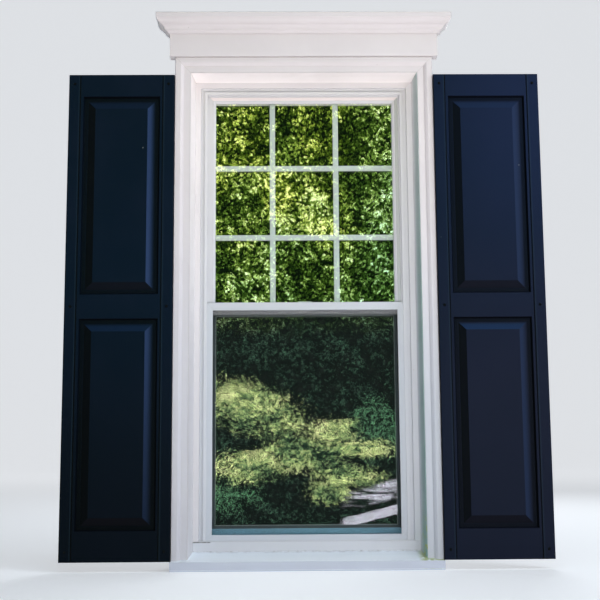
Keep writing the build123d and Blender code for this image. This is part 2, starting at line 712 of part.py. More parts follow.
def pivot_bars(prefix, face, bottom):
    """Write the pivot bars of a sash and the balance shoes that carry them."""
    middle = face + SASH_THICKNESS / 2
    height = bottom + PIVOT_HEIGHT
    half = PIVOT_BAR / 2
    shoe_inner = frame_edge - TRACK_FLOOR + VINYL_WALL + SEAT_GAP
    shoe_outer = shoe_inner + POCKET_DEPTH - 2 * SEAT_GAP
    bar_end = shoe_inner + PIVOT_BAR
    with BuildPart() as bar:
        block((sash_edge - PIVOT_LENGTH + SEAT_GAP, bar_end), (middle - half, middle + half),
              (height - half, height + half))
        chamfer(bar.edges().filter_by(Axis.X), length=1)
    save_both(bar, f"{prefix}_pivot_bars")

    shoe_half = POCKET_WIDTH / 2 - SEAT_GAP
    shoe_bottom = height - half - 2
    socket = half + SEAT_GAP
    with BuildPart() as shoe:
        block((shoe_inner, shoe_outer), (middle - shoe_half, middle + shoe_half),
              (shoe_bottom, shoe_bottom + SHOE_HEIGHT))
        block((shoe_inner - 1, bar_end + SEAT_GAP), (middle - socket, middle + socket),
              (height - socket, height + socket), Mode.SUBTRACT)
        chamfer(shoe.edges().filter_by(Axis.X).group_by(Axis.Z)[0], length=1.5)
    save_both(shoe, f"{prefix}_shoes")
    return shoe_bottom + SHOE_HEIGHT


# Upper sash
upper_low = meeting_top
upper_high = upper_top - SASH_FACE
upper_stile, upper_top_rail, upper_meeting_rail = sash_bars(
    upper_face, meeting_bottom, MEETING_FACE, upper_top, SASH_FACE)
save_pair(upper_stile, "upper_stile")
save(upper_top_rail, "upper_top_rail")
save(upper_meeting_rail, "upper_meeting_rail")
glazing("upper", upper_face, upper_low, upper_high)
interlock("upper_interlock", upper_face + SASH_THICKNESS, meeting_bottom + HOOK_HEIGHT, 1)
upper_shoe_top = pivot_bars("upper", upper_face, meeting_bottom)

grille_middle = (upper_low + upper_high) / 2
grille_half = daylight_edge + GLASS_BITE - SLIDE_GAP - SPACER_WIDTH - SEAT_GAP
grille_height = upper_high - upper_low + 2 * (GLASS_BITE - SLIDE_GAP - SPACER_WIDTH - SEAT_GAP)
grille_back = upper_face + glass_front + PANE + (AIR_SPACE + GRILLE_THICKNESS) / 2
with BuildPart() as grille:
    with BuildSketch(Plane(origin=(0, grille_back, grille_middle), x_dir=(1, 0, 0), z_dir=(0, -1, 0))):
        with GridLocations(GRILLE_COLUMN, 1, 2, 1):
            Rectangle(GRILLE_BAR, grille_height)
        with GridLocations(1, GRILLE_ROW, 1, 2):
            Rectangle(2 * grille_half, GRILLE_BAR)
    extrude(amount=GRILLE_THICKNESS)
    flat_faces = grille.faces().filter_by(Axis.Y)
    chamfer(flat_faces.edges(), length=GRILLE_CHAMFER)
save(grille, "grille")

# Lower sash
lower_low = lower_bottom + BOTTOM_FACE
lower_high = meeting_top - MEETING_FACE
lower_stile, lower_meeting_rail, lower_bottom_rail = sash_bars(
    lower_face, lower_bottom, BOTTOM_FACE, meeting_top, MEETING_FACE)
with BuildPart() as lifting_rail:
    add(lower_bottom_rail.part)
    lift_top = lower_low - LIFT_DROP
    lift_back = lower_face + SASH_THICKNESS
    with BuildSketch(cross_plane(LIFT_HALF, lift_top, lift_back, -1)):
        Polygon((0, 0), (0, LIFT_PROJECTION - 2), (2, LIFT_PROJECTION), (LIFT_HEIGHT + 3, LIFT_PROJECTION),
                (LIFT_HEIGHT + 3, LIFT_PROJECTION - 2.5), (LIFT_HEIGHT, LIFT_PROJECTION - 3.5),
                (LIFT_HEIGHT, 0), align=None)
    extrude(amount=2 * LIFT_HALF)
save_pair(lower_stile, "lower_stile")
save(lower_meeting_rail, "lower_meeting_rail")
save(lifting_rail, "lower_bottom_rail")
glazing("lower", lower_face, lower_low, lower_high)
lower_hook_height = meeting_bottom + HOOK_HEIGHT + HOOK_LEG + HOOK_WALL + HOOK_PLAY
interlock("lower_interlock", lower_face, lower_hook_height, -1)
lower_shoe_top = pivot_bars("lower", lower_face, lower_bottom)


# Tilt latches: sprung bolts in the tops of the sashes
def latch(label, face, top):
    """Write a pair of latches with a bevelled nose and a thumb recess."""
    nose_tip = sash_edge + LATCH_NOSE
    tail = nose_tip - LATCH_LENGTH
    middle = face + LATCH_LINE
    half = LATCH_WIDTH / 2
    latch_top = top - SEAT_GAP
    with BuildPart() as bolt:
        block((tail, nose_tip), (middle - half, middle + half), (latch_top - LATCH_DEPTH, latch_top))
        nose_edge = bolt.edges().filter_by(Axis.Z).group_by(Axis.X)[-1].sort_by(Axis.Y)[-1]
        chamfer(nose_edge, length=LATCH_NOSE / 2)
        thumb = tail + THUMB_WIDTH
        block((thumb, thumb + THUMB_WIDTH), (middle - half + 2, middle + half - 2),
              (latch_top - THUMB_DEPTH, latch_top + 1), Mode.SUBTRACT)
    save_pair(bolt, label)


latch("upper_latch", upper_face, upper_top)
latch("lower_latch", lower_face, meeting_top)

# Lock and keeper; at rest the lock is open
lock_y = lower_face + LOCK_SETBACK
plate_top = meeting_top + SEAT_GAP + LOCK_PLATE
tongue_low = plate_top + SEAT_GAP
tongue_high = tongue_low + LOCK_TONGUE
cover_low = tongue_high + SEAT_GAP
cover_high = cover_low + LOCK_COVER
with BuildPart() as lock_base:
    with BuildSketch(Plane.XY.offset(meeting_top + SEAT_GAP)):
        with Locations((0, lock_y)):
            SlotOverall(LOCK_LENGTH, LOCK_WIDTH)
    extrude(amount=cover_high - meeting_top - SEAT_GAP)
    block((-LOCK_HUB - SLIDE_GAP, LOCK_REACH + SLIDE_GAP),
          (lock_y - LOCK_WIDTH, lock_y + LOCK_HUB + SEAT_GAP), (plate_top, cover_low), Mode.SUBTRACT)
    with BuildSketch(Plane.XY.offset(cover_low)):
        with Locations((0, lock_y)):
            Circle(SPINDLE / 2 + SEAT_GAP)
    extrude(amount=2 * LOCK_COVER, mode=Mode.SUBTRACT)
save(lock_base, "lock_base")

with BuildPart() as lock_lever:
    with BuildSketch(Plane.XY.offset(tongue_low)):
        with Locations((0, lock_y)):
            Circle(LOCK_HUB)
        with Locations(((LOCK_REACH - TONGUE_WIDTH / 2) / 2, lock_y)):
            Rectangle(LOCK_REACH - TONGUE_WIDTH / 2, TONGUE_WIDTH)
        with Locations((LOCK_REACH - TONGUE_WIDTH / 2, lock_y)):
            Circle(TONGUE_WIDTH / 2)
    extrude(amount=LOCK_TONGUE)
    with BuildSketch(Plane.XY.offset(tongue_high)):
        with Locations((0, lock_y)):
            Circle(SPINDLE / 2)
    extrude(amount=cover_high + SEAT_GAP - tongue_high)
    with BuildSketch(Plane.XY.offset(cover_high + SEAT_GAP)):
        with Locations((0, lock_y)):
            Circle(LEVER_WIDTH * 0.8)
        with Locations((0, lock_y + LEVER_LENGTH / 2)):
            SlotOverall(LEVER_LENGTH + LEVER_WIDTH, LEVER_WIDTH, rotation=90)
    extrude(amount=LEVER_THICKNESS)
save(lock_lever, "lock_lever")

keeper_front = upper_face + rebate_back
keeper_back = upper_face + SASH_THICKNESS - SEAT_GAP
with BuildPart() as upper_keeper:
    block((-KEEPER_HALF, KEEPER_HALF), (keeper_front, keeper_back),
          (meeting_top, meeting_top + KEEPER_HEIGHT))
    block((-TONGUE_WIDTH, LOCK_REACH - TONGUE_WIDTH / 2), (keeper_front - 1, keeper_back + 1),
          (meeting_top - 1, meeting_top + KEEPER_HEIGHT - KEEPER_TOP), Mode.SUBTRACT)
    fillet(upper_keeper.edges().filter_by(Axis.Y).group_by(Axis.Z)[-1], radius=1.5)
save(upper_keeper, "upper_keeper")

# Constant-force balances: coils fixed in the jambs and their strips down to the shoes
coil_x = frame_edge - TRACK_FLOOR + VINYL_WALL + SEAT_GAP
strip_middle = coil_x + COIL_WIDTH / 2
strip_offset = COIL_RADIUS + SEAT_GAP
upper_coil_height = meeting_top + UPPER_COIL_RISE
lower_coil_height = meeting_top + LOWER_COIL_RISE


def strip(label, track, coil_height, shoe_top):
    """Write the pair of steel strips of one sash."""
    front = track + track_middle + strip_offset
    with BuildPart() as band:
        block((strip_middle - STRIP_WIDTH / 2, strip_middle + STRIP_WIDTH / 2), (front, front + STRIP),
              (shoe_top + SEAT_GAP, coil_height))
    save_both(band, label)


with BuildPart() as balance_coils:
    for track, coil_height in ((upper_track, upper_coil_height), (lower_track, lower_coil_height)):
        with BuildSketch(Plane(origin=(coil_x, track + track_middle, coil_height), z_dir=(1, 0, 0))):
            Circle(COIL_RADIUS)
        extrude(amount=COIL_WIDTH)
save_both(balance_coils, "balance_coils")
strip("upper_strips", upper_track, upper_coil_height, upper_shoe_top)
strip("lower_strips", lower_track, lower_coil_height, lower_shoe_top)

# Half screen
screen_edge = frame_edge - SCREEN_FLOOR - SCREEN_PLAY
screen_half = screen_edge - SCREEN_SIDE
screen_face = screen_slot_front + SEAT_GAP
screen_low = SILL_SEAT + SCREEN_LEDGE + SEAT_GAP + SCREEN_BOTTOM_FACE
screen_high = meeting_top + SCREEN_RISE - SCREEN_TOP_FACE
screen_widths = (SCREEN_SIDE, SCREEN_TOP_FACE, SCREEN_BOTTOM_FACE)
chamber_near = SPLINE_LINE + SPLINE_GROOVE / 2 + SCREEN_WALL


def screen_section(width):
    """Roll-formed tube with a groove for the mesh cord in its back."""
    with Locations((width / 2, SCREEN_BAR / 2)):
        Rectangle(width, SCREEN_BAR)
    with Locations((SPLINE_LINE, SCREEN_BAR - SPLINE_DEPTH / 2)):
        Rectangle(SPLINE_GROOVE, SPLINE_DEPTH, mode=Mode.SUBTRACT)
    with Locations(((chamber_near + width - SCREEN_WALL) / 2, SCREEN_BAR / 2)):
        Rectangle(width - SCREEN_WALL - chamber_near, SCREEN_BAR - 2 * SCREEN_WALL, mode=Mode.SUBTRACT)


def spline_section(width):
    """Ribbed cord lying in the groove."""
    with Locations((SPLINE_LINE, SCREEN_BAR - SPLINE_DEPTH + SEAT_GAP + SPLINE / 2)):
        RegularPolygon(SPLINE / 2, side_count=8)


screen_side, screen_top, screen_bottom = ring_bars(
    screen_section, screen_section, screen_half, screen_low, screen_high, screen_face, screen_widths)
save_pair(screen_side, "screen")
save(screen_top, "screen_top")
save(screen_bottom, "screen_bottom")
save_ring(ring_bars(spline_section, spline_section, screen_half, screen_low, screen_high,
                    screen_face, screen_widths), "screen_spline")

with BuildPart() as screen_mesh:
    mesh_front = screen_face + SCREEN_BAR
    block((-screen_half - MESH_LAP, screen_half + MESH_LAP), (mesh_front, mesh_front + MESH_THICKNESS),
          (screen_low - MESH_LAP, screen_high + MESH_LAP))
save(screen_mesh, "screen_mesh")

key_play = SCREEN_WALL + SEAT_GAP
with BuildPart() as screen_corners:
    for up, edge, width in ((1, screen_high, SCREEN_TOP_FACE), (-1, screen_low, SCREEN_BOTTOM_FACE)):
        near_x = chamber_near * max(1, SCREEN_SIDE / width) + SEAT_GAP
        near_z = chamber_near * max(1, width / SCREEN_SIDE) + SEAT_GAP
        key_y = (screen_face + key_play, screen_face + SCREEN_BAR - key_play)
        key_x = (screen_half + near_x, screen_edge - key_play)
        outer_z = edge + up * (width - key_play)
        block(key_x, key_y, sorted((outer_z, outer_z - up * KEY_LEG)))
        block((key_x[1] - KEY_LEG, key_x[1]), key_y, sorted((outer_z, edge + up * near_z)))
save_both(screen_corners, "screen_corners")

spring_bow = SCREEN_PLAY - SPRING_THICKNESS - SEAT_GAP / 3
with BuildPart() as screen_springs:
    for height in (screen_low + SPRING_INSET, screen_high - SPRING_INSET):
        with BuildSketch(Plane(origin=(-screen_edge, screen_face + SCREEN_BAR / 2, height), z_dir=(0, -1, 0),
                               x_dir=(1, 0, 0))):
            with BuildLine():
                end = SPRING_LENGTH / 2
                near = ThreePointArc((0, -end), (-spring_bow, 0), (0, end))
                far = ThreePointArc((-SPRING_THICKNESS, -end), (-spring_bow - SPRING_THICKNESS, 0),
                                    (-SPRING_THICKNESS, end))
                Line(near @ 0, far @ 0)
                Line(near @ 1, far @ 1)
            make_face()
        extrude(amount=SCREEN_BAR / 3, both=True)
save(screen_springs, "screen_springs")

# Shutters: moulded in one piece, open at the back
shutter_inner = casing_outer + SEAT_GAP
shutter_outer = shutter_inner + SHUTTER_WIDTH
shutter_middle = (shutter_inner + shutter_outer) / 2
shutter_foot = SILL_FRONT + SHUTTER_FOOT_GAP
shutter_top = casing_top - SHUTTER_TOP_DROP
mid_rail_height = meeting_bottom + MEETING_FACE / 2 - MID_RAIL_DROP
shutter_back = -SHUTTER_SETOUT
shutter_front = shutter_back - SHUTTER_THICKNESS
rail_face = shutter_front + RAIL_STEP
panel_floor = rail_face + PANEL_DEPTH
panel_width = SHUTTER_WIDTH - 2 * PANEL_SIDE
mid_half = SHUTTER_MID_RAIL / 2
panels = ((shutter_foot + SHUTTER_BOTTOM_RAIL, mid_rail_height - mid_half),
          (mid_rail_height + mid_half, shutter_top - SHUTTER_TOP_RAIL))
screw_columns = (shutter_inner + SCREW_INSET, shutter_outer - SCREW_INSET)
screw_rows = (shutter_foot + SCREW_TOP_INSET, mid_rail_height, shutter_top - SCREW_TOP_INSET)
screw_places = [(column, row) for column in screw_columns for row in screw_rows]


def shutter_plane(y, height=0.0):
    """Upright plane across a shutter; a sketch on it is extruded towards the weather."""
    return Plane(origin=(shutter_middle, y, height), x_dir=(1, 0, 0), z_dir=(0, -1, 0))


def panel_slope(low, high, first, second, mode):
    """Loft between two rectangles, each given by its distance from the front and its inset."""
    middle = (low + high) / 2
    profiles = []
    for y, inset in (first, second):
        with BuildSketch(shutter_plane(y, middle)) as profile:
            Rectangle(panel_width - 2 * inset, high - low - 2 * inset)
        profiles.append(profile.sketch)
    loft(profiles, mode=mode)


with BuildPart() as shutter:
    block((shutter_inner, shutter_outer), (shutter_front, shutter_back), (shutter_foot, shutter_top))
    fillet(shutter.faces().sort_by(Axis.Y)[0].edges(), radius=SHUTTER_EDGE_RADIUS)
    block((shutter_inner + STILE_WIDTH, shutter_outer - STILE_WIDTH), (shutter_front - 1, rail_face),
          (shutter_foot - 1, shutter_top + 1), Mode.SUBTRACT)
    for low, high in panels:
        panel_slope(low, high, (rail_face, 0), (panel_floor, PANEL_COVE), Mode.SUBTRACT)
        foot = PANEL_COVE + PANEL_GROUND
        panel_slope(low, high, (panel_floor, foot), (panel_floor - FIELD_RISE, foot + PANEL_BEVEL), Mode.ADD)
    cavity_x = (shutter_inner + SHUTTER_WALL, shutter_outer - SHUTTER_WALL)
    cavity_y = (panel_floor + SHUTTER_WALL, shutter_back)
    cavity_z = (shutter_foot + SHUTTER_WALL, shutter_top - SHUTTER_WALL)
    block(cavity_x, (cavity_y[0], cavity_y[1] + 1), cavity_z, Mode.SUBTRACT)
    rib_pitch = (cavity_z[1] - cavity_z[0]) / (SHUTTER_RIBS + 1)
    for number in range(SHUTTER_RIBS):
        rib = cavity_z[0] + (number + 1) * rib_pitch
        block(cavity_x, cavity_y, (rib - RIB_THICKNESS / 2, rib + RIB_THICKNESS / 2))
    for column, row in screw_places:
        with BuildSketch(Plane(origin=(column, shutter_back, row), z_dir=(0, -1, 0))):
            Rectangle(SCREW_PAD, SCREW_PAD)
        extrude(amount=cavity_y[1] - cavity_y[0])
    for column, row in screw_places:
        with BuildSketch(Plane(origin=(column, shutter_back, row), z_dir=(0, -1, 0))):
            Circle(SCREW_SHANK / 2 + SEAT_GAP)
        extrude(amount=SHUTTER_THICKNESS + 1, mode=Mode.SUBTRACT)
save_pair(shutter, "shutter")

with BuildPart() as shutter_screws:
    for column, row in screw_places:
        with BuildSketch(Plane(origin=(column, shutter_front, row), z_dir=(0, -1, 0))):
            Circle(SCREW_HEAD / 2)
        extrude(amount=SCREW_HEAD_HEIGHT, taper=15)
        with BuildSketch(Plane(origin=(column, shutter_front, row), z_dir=(0, 1, 0))):
            Circle(SCREW_SHANK / 2)
        extrude(amount=SCREW_LENGTH)
save_both(shutter_screws, "shutter_screws")
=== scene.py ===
import json
import math
import random

import bmesh
import bpy
from mathutils import Matrix, Vector


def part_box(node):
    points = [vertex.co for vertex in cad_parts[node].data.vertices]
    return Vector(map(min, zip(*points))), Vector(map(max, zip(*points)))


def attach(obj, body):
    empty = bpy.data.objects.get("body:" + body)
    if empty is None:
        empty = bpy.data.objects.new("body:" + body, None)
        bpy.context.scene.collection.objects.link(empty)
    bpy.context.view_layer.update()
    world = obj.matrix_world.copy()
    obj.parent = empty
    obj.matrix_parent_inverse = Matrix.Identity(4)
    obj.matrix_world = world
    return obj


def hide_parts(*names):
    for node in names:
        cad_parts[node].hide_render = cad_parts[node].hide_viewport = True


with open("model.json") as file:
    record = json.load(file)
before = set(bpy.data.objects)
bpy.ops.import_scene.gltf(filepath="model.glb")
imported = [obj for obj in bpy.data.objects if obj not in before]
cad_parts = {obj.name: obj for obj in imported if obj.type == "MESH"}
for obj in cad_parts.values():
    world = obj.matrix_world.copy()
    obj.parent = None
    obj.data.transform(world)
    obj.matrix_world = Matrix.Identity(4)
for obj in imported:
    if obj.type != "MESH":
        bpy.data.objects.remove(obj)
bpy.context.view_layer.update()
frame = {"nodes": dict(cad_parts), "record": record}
nodes = frame["nodes"]


class Wire:
    """The value of one socket, which can be written into sums like a number."""

    def __init__(self, nodes_of, socket):
        self.nodes_of = nodes_of
        self.socket = socket

    def maths(self, operation, first, second=0.0):
        return self.nodes_of.node("ShaderNodeMath", {"operation": operation}, {0: first, 1: second})

    def __add__(self, other):
        return self.maths("ADD", self, other)

    def __radd__(self, other):
        return self.maths("ADD", other, self)

    def __sub__(self, other):
        return self.maths("SUBTRACT", self, other)

    def __rsub__(self, other):
        return self.maths("SUBTRACT", other, self)

    def __mul__(self, other):
        return self.maths("MULTIPLY", self, other)

    def __rmul__(self, other):
        return self.maths("MULTIPLY", other, self)

    def __truediv__(self, other):
        return self.maths("DIVIDE", self, other)

    def __rtruediv__(self, other):
        return self.maths("DIVIDE", other, self)

    def __gt__(self, other):
        return self.maths("GREATER_THAN", self, other)

    def __lt__(self, other):
        return self.maths("LESS_THAN", self, other)

    def absolute(self):
        return self.maths("ABSOLUTE", self)

    def sign(self):
        return self.maths("SIGN", self)

    def repeat(self, length):
        return self.maths("FLOORED_MODULO", self, length)

    def highest(self, other):
        return self.maths("MAXIMUM", self, other)

    def lowest(self, other):
        return self.maths("MINIMUM", self, other)

    def ease(self, low, high):
        """0 below low, 1 above high, and a soft step between them; high may be the lower one."""
        if low > high:
            return 1 - self.ease(high, low)
        return self.nodes_of.node("ShaderNodeMapRange", {"interpolation_type": "SMOOTHSTEP"},
                                  {"Value": self, "From Min": low, "From Max": high})


class Nodes:
    """A node tree, emptied, and the one way in which its nodes are made."""

    def __init__(self, tree):
        self.tree = tree
        self.tree.nodes.clear()

    def node(self, kind, settings=None, values=None, out=0):
        """Makes one node: its settings first, then what its sockets hold or are fed."""
        made = self.tree.nodes.new(kind)
        for key, value in (settings or {}).items():
            if key == "stops":
                set_stops(made.color_ramp.elements, value)
            else:
                setattr(made, key, value)
        for key, value in (values or {}).items():
            if isinstance(value, Wire):
                self.tree.links.new(value.socket, made.inputs[key])
            else:
                made.inputs[key].default_value = value
        return Wire(self, made.outputs[out]) if made.outputs else None


def set_stops(ramp, stops):
    """Gives a colour ramp its stops, each a position and a colour."""
    while len(ramp) < len(stops):
        ramp.new(1.0)
    for element, (position, colour) in zip(ramp, stops):
        element.position = position
        element.color = colour


class Finish(Nodes):
    """One material and the node tree behind it."""

    def __init__(self, name):
        self.material = bpy.data.materials.new(name)
        self.material.use_nodes = True
        super().__init__(self.material.node_tree)
        self.place = self.node("ShaderNodeTexCoord", out="Object")

    def axis(self, letter, place=None):
        """One coordinate of the object's own place, or one part of another vector or colour."""
        return self.node("ShaderNodeSeparateXYZ", None, {0: place or self.place}, letter)

    def stretched(self, x, y, z):
        """Object coordinates with each axis multiplied."""
        return self.node("ShaderNodeMapping", None, {"Vector": self.place, "Scale": (x, y, z)})

    def shifted(self, x, y, z):
        """Object coordinates moved along each axis."""
        return self.node("ShaderNodeMapping", None, {"Vector": self.place, "Location": (x, y, z)})

    def facing(self):
        """The direction that the surface faces."""
        return self.node("ShaderNodeNewGeometry", out="Normal")

    def seen_by(self, ray):
        """What the Light Path node says of the ray that looks."""
        return self.node("ShaderNodeLightPath", out=ray)

    def noise(self, scale, detail=2.0, rough=0.5, place=None, out="Fac"):
        """Cloudy noise around 0.5."""
        return self.node("ShaderNodeTexNoise", None, {
            "Vector": place or self.place, "Scale": scale, "Detail": detail, "Roughness": rough}, out)

    def cells(self, scale, place=None, out="Distance"):
        """Cells around scattered points: the distance to each point, or a colour for each cell."""
        return self.node("ShaderNodeTexVoronoi", None, {"Vector": place or self.place, "Scale": scale}, out)

    def mixed(self, share, base, over):
        """The base colour with a share of another one over it."""
        return self.node("ShaderNodeMix", {"data_type": "RGBA"}, {0: share, 6: base, 7: over}, 2)

    def specks(self, scale, size, rarity):
        """Small round marks, at rarity of the cells only."""
        chosen = self.axis("X", self.cells(scale, out="Color")) > 1 - rarity
        return self.cells(scale).ease(size, size * 0.5) * chosen

    def crease(self, reach):
        """1 in the joints and corners, 0 on open faces: an occlusion mask, so a colour darkened by it is
        painted shade.
        """
        return 1 - self.node("ShaderNodeAmbientOcclusion", {"samples": 6}, {"Distance": reach}, "AO")

    def mitre(self, corner_x, corner_z, rise=1.0):
        """The hairline of a mitred or welded corner, on both sides of the window."""
        inward = corner_x - self.axis("X").absolute()
        downward = (corner_z - self.axis("Z")) * rise
        on_line = (inward - downward).absolute().ease(0.0007, 0.0003)
        return on_line * (inward < MITRE_REACH) * (inward > 0.0)

    def painted_low_shade(self, base):
        """Painted shade: a cooler grey over a white face, more of it lower down."""
        return self.mixed(self.axis("Z").ease(*LOW_SHADE_Z) * 0.42, base, tone(0.31, 0.40, 0.52))

    def relief(self, height, depth, rounding=0.0):
        """Surface normals for a height from 0 to 1 that stands for depth metres, on softly rounded edges."""
        values = {"Height": height, "Distance": depth}
        if rounding:
            values["Normal"] = self.node("ShaderNodeBevel", {"samples": 3}, {"Radius": rounding})
        return self.node("ShaderNodeBump", None, values)

    def skin(self, **sockets):
        """The Principled surface. Socket names are written with _ for a space."""
        values = {name.replace("_", " "): value for name, value in sockets.items()}
        return self.node("ShaderNodeBsdfPrincipled", None, values)

    def done(self, shader):
        """Ends the tree with this shader and gives the material back."""
        self.node("ShaderNodeOutputMaterial", None, {"Surface": shader})
        return self.material


def tone(red, green, blue):
    """An opaque colour in linear light."""
    return (red, green, blue, 1.0)


# Finishes

TRIM_WHITE = tone(0.72, 0.690, 0.705)
# The reveals' white is the trim's paint made brighter and warmer: painted light
REVEAL_LIT_WHITE = tone(0.98, 0.93, 0.925)
# The vinyl's white is set darker than its own, for the recess it sits in: painted shade
VINYL_SHADED_WHITE = tone(0.69, 0.69, 0.715)
# Colour of dirt, and of painted shade in joints and corners
TRIM_DIRT_AND_SHADE = tone(0.42, 0.40, 0.37)
SCREW_BLUE = tone(0.0012, 0.0022, 0.0036)

# How far the hairline of a mitre runs inwards from its corner
MITRE_REACH = 0.07
# Outer corners of mitred or welded pieces: X, Z and, at a lower corner, -1
CASING_CORNER = (0.4612, 1.8008)
WELDED_CORNERS = (
    (0.381, 1.7206),         # vinyl frame
    (0.353, 1.6926),         # upper sash
    (0.353, 0.0979, -1.0),   # lower sash
    (0.3515, 0.923))         # screen

# A shutter's panel openings and the lines beside them: distances from the window's middle, and heights
OPENING_NEAR, OPENING_FAR = 0.5125, 0.7852
LOW_OPENING = (0.135, 0.856)
HIGH_OPENING = (0.940, 1.651)
STILE_JOINTS = (0.5025, 0.7952)
# Painted highlights run along these lines
HIGHLIGHT_LINES = (0.498, 0.7997)
SHUTTER_SKIN_Y = -0.032

# Where dirt, films, painted shade and painted light lie on their pieces, each from none to full
# Painted shade, cooler lower down
LOW_SHADE_Z = (1.75, 0.45)
REVEAL_DEPTH_Y = (0.056, 0.006)
REVEAL_FACE_X = (0.4095, 0.4075)
SHADED_CASING_Z = (1.2, 0.4)
SILL_BACK_Y = (0.035, 0.056)
SILL_RIGHT_END_X = (0.372, 0.400)
RAIL_FACE_Y = (0.1135, 0.1125)
SASH_FACE_Y = (0.1235, 0.1205)
BEHIND_SCREEN_Z = (0.905, 0.890)
COVER_TOP_Z = (0.0845, 0.0855)
COVER_LEFT_END_X = (-0.330, -0.338)
STOP_FACE_Y = 0.06


def brushed_paint(name, colour, film=None):
    """Exterior paint: brush ripple, dirt and painted shade in the joints, painted shade that is cooler lower
    down, rare specks, and an optional film of colour.
    """
    paint = Finish(name)
    ripple = paint.noise(190.0, 3.0, 0.6) * 0.6 + paint.noise(38.0, 2.0) * 0.4
    patches = paint.noise(5.0, 4.0, 0.6).ease(0.35, 0.75)
    # Painted shade in joints and corners, with dirt specks
    dirt_and_crease_shade = paint.crease(0.006).ease(0.35, 1.0) * 0.55 + paint.specks(34.0, 0.07, 0.05) * 0.6
    base = paint.mixed(patches * 0.10, colour, TRIM_DIRT_AND_SHADE)
    # Painted shade, cooler lower down
    base = paint.painted_low_shade(base)
    if film:
        base = film(paint, base)
    dirt_and_crease_shade = dirt_and_crease_shade.highest(paint.mitre(*CASING_CORNER) * 0.7)
    # Dirt, specks, mitre lines and painted shade in the joints
    base = paint.mixed(dirt_and_crease_shade, base, TRIM_DIRT_AND_SHADE)
    return paint.done(paint.skin(
        Base_Color=base, Roughness=0.42 + patches * 0.12, Specular_IOR_Level=0.4,
        Normal=paint.relief(ripple, 0.00012, 0.0011)))


def shade_and_algae_film(paint, base):
    """Painted shade tinted green-grey like reflected leaves on the right reveal, deepest outside and low
    down, and a green patch of algae low down outside.
    """
    outward = paint.axis("Y").ease(*REVEAL_DEPTH_Y)
    low = paint.axis("Z").ease(0.25, 0.05)
    shaded = 0.70 + paint.axis("Z").ease(1.65, 1.0) * 0.30
    inside = paint.axis("X").ease(*REVEAL_FACE_X)
    # Blotches that vary the painted shade
    blotches = paint.noise(9.0, 5.0, 0.65).ease(0.3, 0.7)
    # The share of painted shade, deepest outside
    painted_shade_share = (outward * 0.82 + low * 0.12) * (0.80 + blotches * 0.20) * shaded
    green_patch = low * outward * paint.noise(60.0, 4.0).ease(0.5, 0.62)
    base = paint.mixed(painted_shade_share * inside, base, tone(0.16, 0.33, 0.30))
    return paint.mixed(green_patch * inside * 0.9, base, tone(0.34, 0.42, 0.07))


def stop_painted_shade(paint, base):
    """Painted shade on the narrow front-facing stop in front of the vinyl frame, a little duller than the
    reveal beside it.
    """
    frontward = paint.axis("Y", paint.facing()) < -0.8
    return paint.mixed(frontward * 0.45, base, tone(0.45, 0.455, 0.485))


def shaded_film(paint, base):
    """The right casing is duller low down, in the shutter's shade."""
    return paint.mixed(paint.axis("Z").ease(*SHADED_CASING_Z) * 0.36, base, tone(0.31, 0.40, 0.47))


def sill_weathering_and_sky_light(paint, base):
    """Soot and grit that lie on the sloping top, moss at its right end, and painted sky light that makes the
    up-facing top paler and bluer.
    """
    grit = paint.noise(420.0, 3.0, 0.7).ease(0.62, 0.75) * paint.noise(16.0, 3.0).ease(0.45, 0.65)
    upward = paint.axis("Z", paint.facing()).ease(0.5, 0.9)
    # Painted sky light on the up-facing top
    base = paint.mixed(upward, base, tone(0.84, 0.92, 1.0))
    at_back = paint.axis("Y").ease(*SILL_BACK_Y) * (paint.axis("Y") < STOP_FACE_Y)
    at_back = at_back * paint.noise(45.0, 4.0).ease(0.4, 0.7)
    moss = paint.noise(70.0, 4.0).ease(0.30, 0.50)
    green_corner = paint.axis("X").ease(*SILL_RIGHT_END_X) * upward * moss
    base = paint.mixed(green_corner * 0.8, base, tone(0.34, 0.44, 0.12))
    return paint.mixed(grit * 0.35 + at_back * 0.45, base, tone(0.22, 0.23, 0.25))


def moulded_vinyl(name, colour, roughness=0.34, film=None):
    """Extruded white vinyl: faint die lines, a little dirt and painted shade where it meets its neighbours,
    and painted shade that is cooler lower down.
    """
    vinyl = Finish(name)
    ripple = vinyl.noise(120.0, 2.0)
    cloud = vinyl.noise(7.0, 4.0, 0.6).ease(0.4, 0.75)
    # Painted shade in joints and corners, with faint cloudy dirt
    dirt_and_crease_shade = vinyl.crease(0.004).ease(0.40, 0.95) * 0.55 + cloud * 0.05
    welds = vinyl.mitre(*WELDED_CORNERS[0])
    for corner in WELDED_CORNERS[1:]:
        welds = welds.highest(vinyl.mitre(*corner))
    # Welds, dirt and painted shade, over painted shade that is cooler lower down
    base = vinyl.mixed(dirt_and_crease_shade.highest(welds * 0.5), vinyl.painted_low_shade(colour), tone(0.36, 0.36, 0.35))
    if film:
        base = film(vinyl, base)
    return vinyl.done(vinyl.skin(
        Base_Color=base, Roughness=roughness + cloud * 0.1, Normal=vinyl.relief(ripple, 0.00005, 0.0008)))


def rail_painted_shade(vinyl, base):
    """Painted blue-grey shade on the outer face of the bottom rail, behind the screen."""
    return vinyl.mixed(vinyl.axis("Y").ease(*RAIL_FACE_Y) * 0.75, base, tone(0.24, 0.72, 1.0))


def stile_painted_shade(vinyl, base):
    """Painted shade where the sash faces the screen's bars."""
    outer = vinyl.axis("Y").ease(*SASH_FACE_Y) * vinyl.axis("Z").ease(*BEHIND_SCREEN_Z)
    return vinyl.mixed(outer * 0.92, base, tone(0.05, 0.085, 0.095))


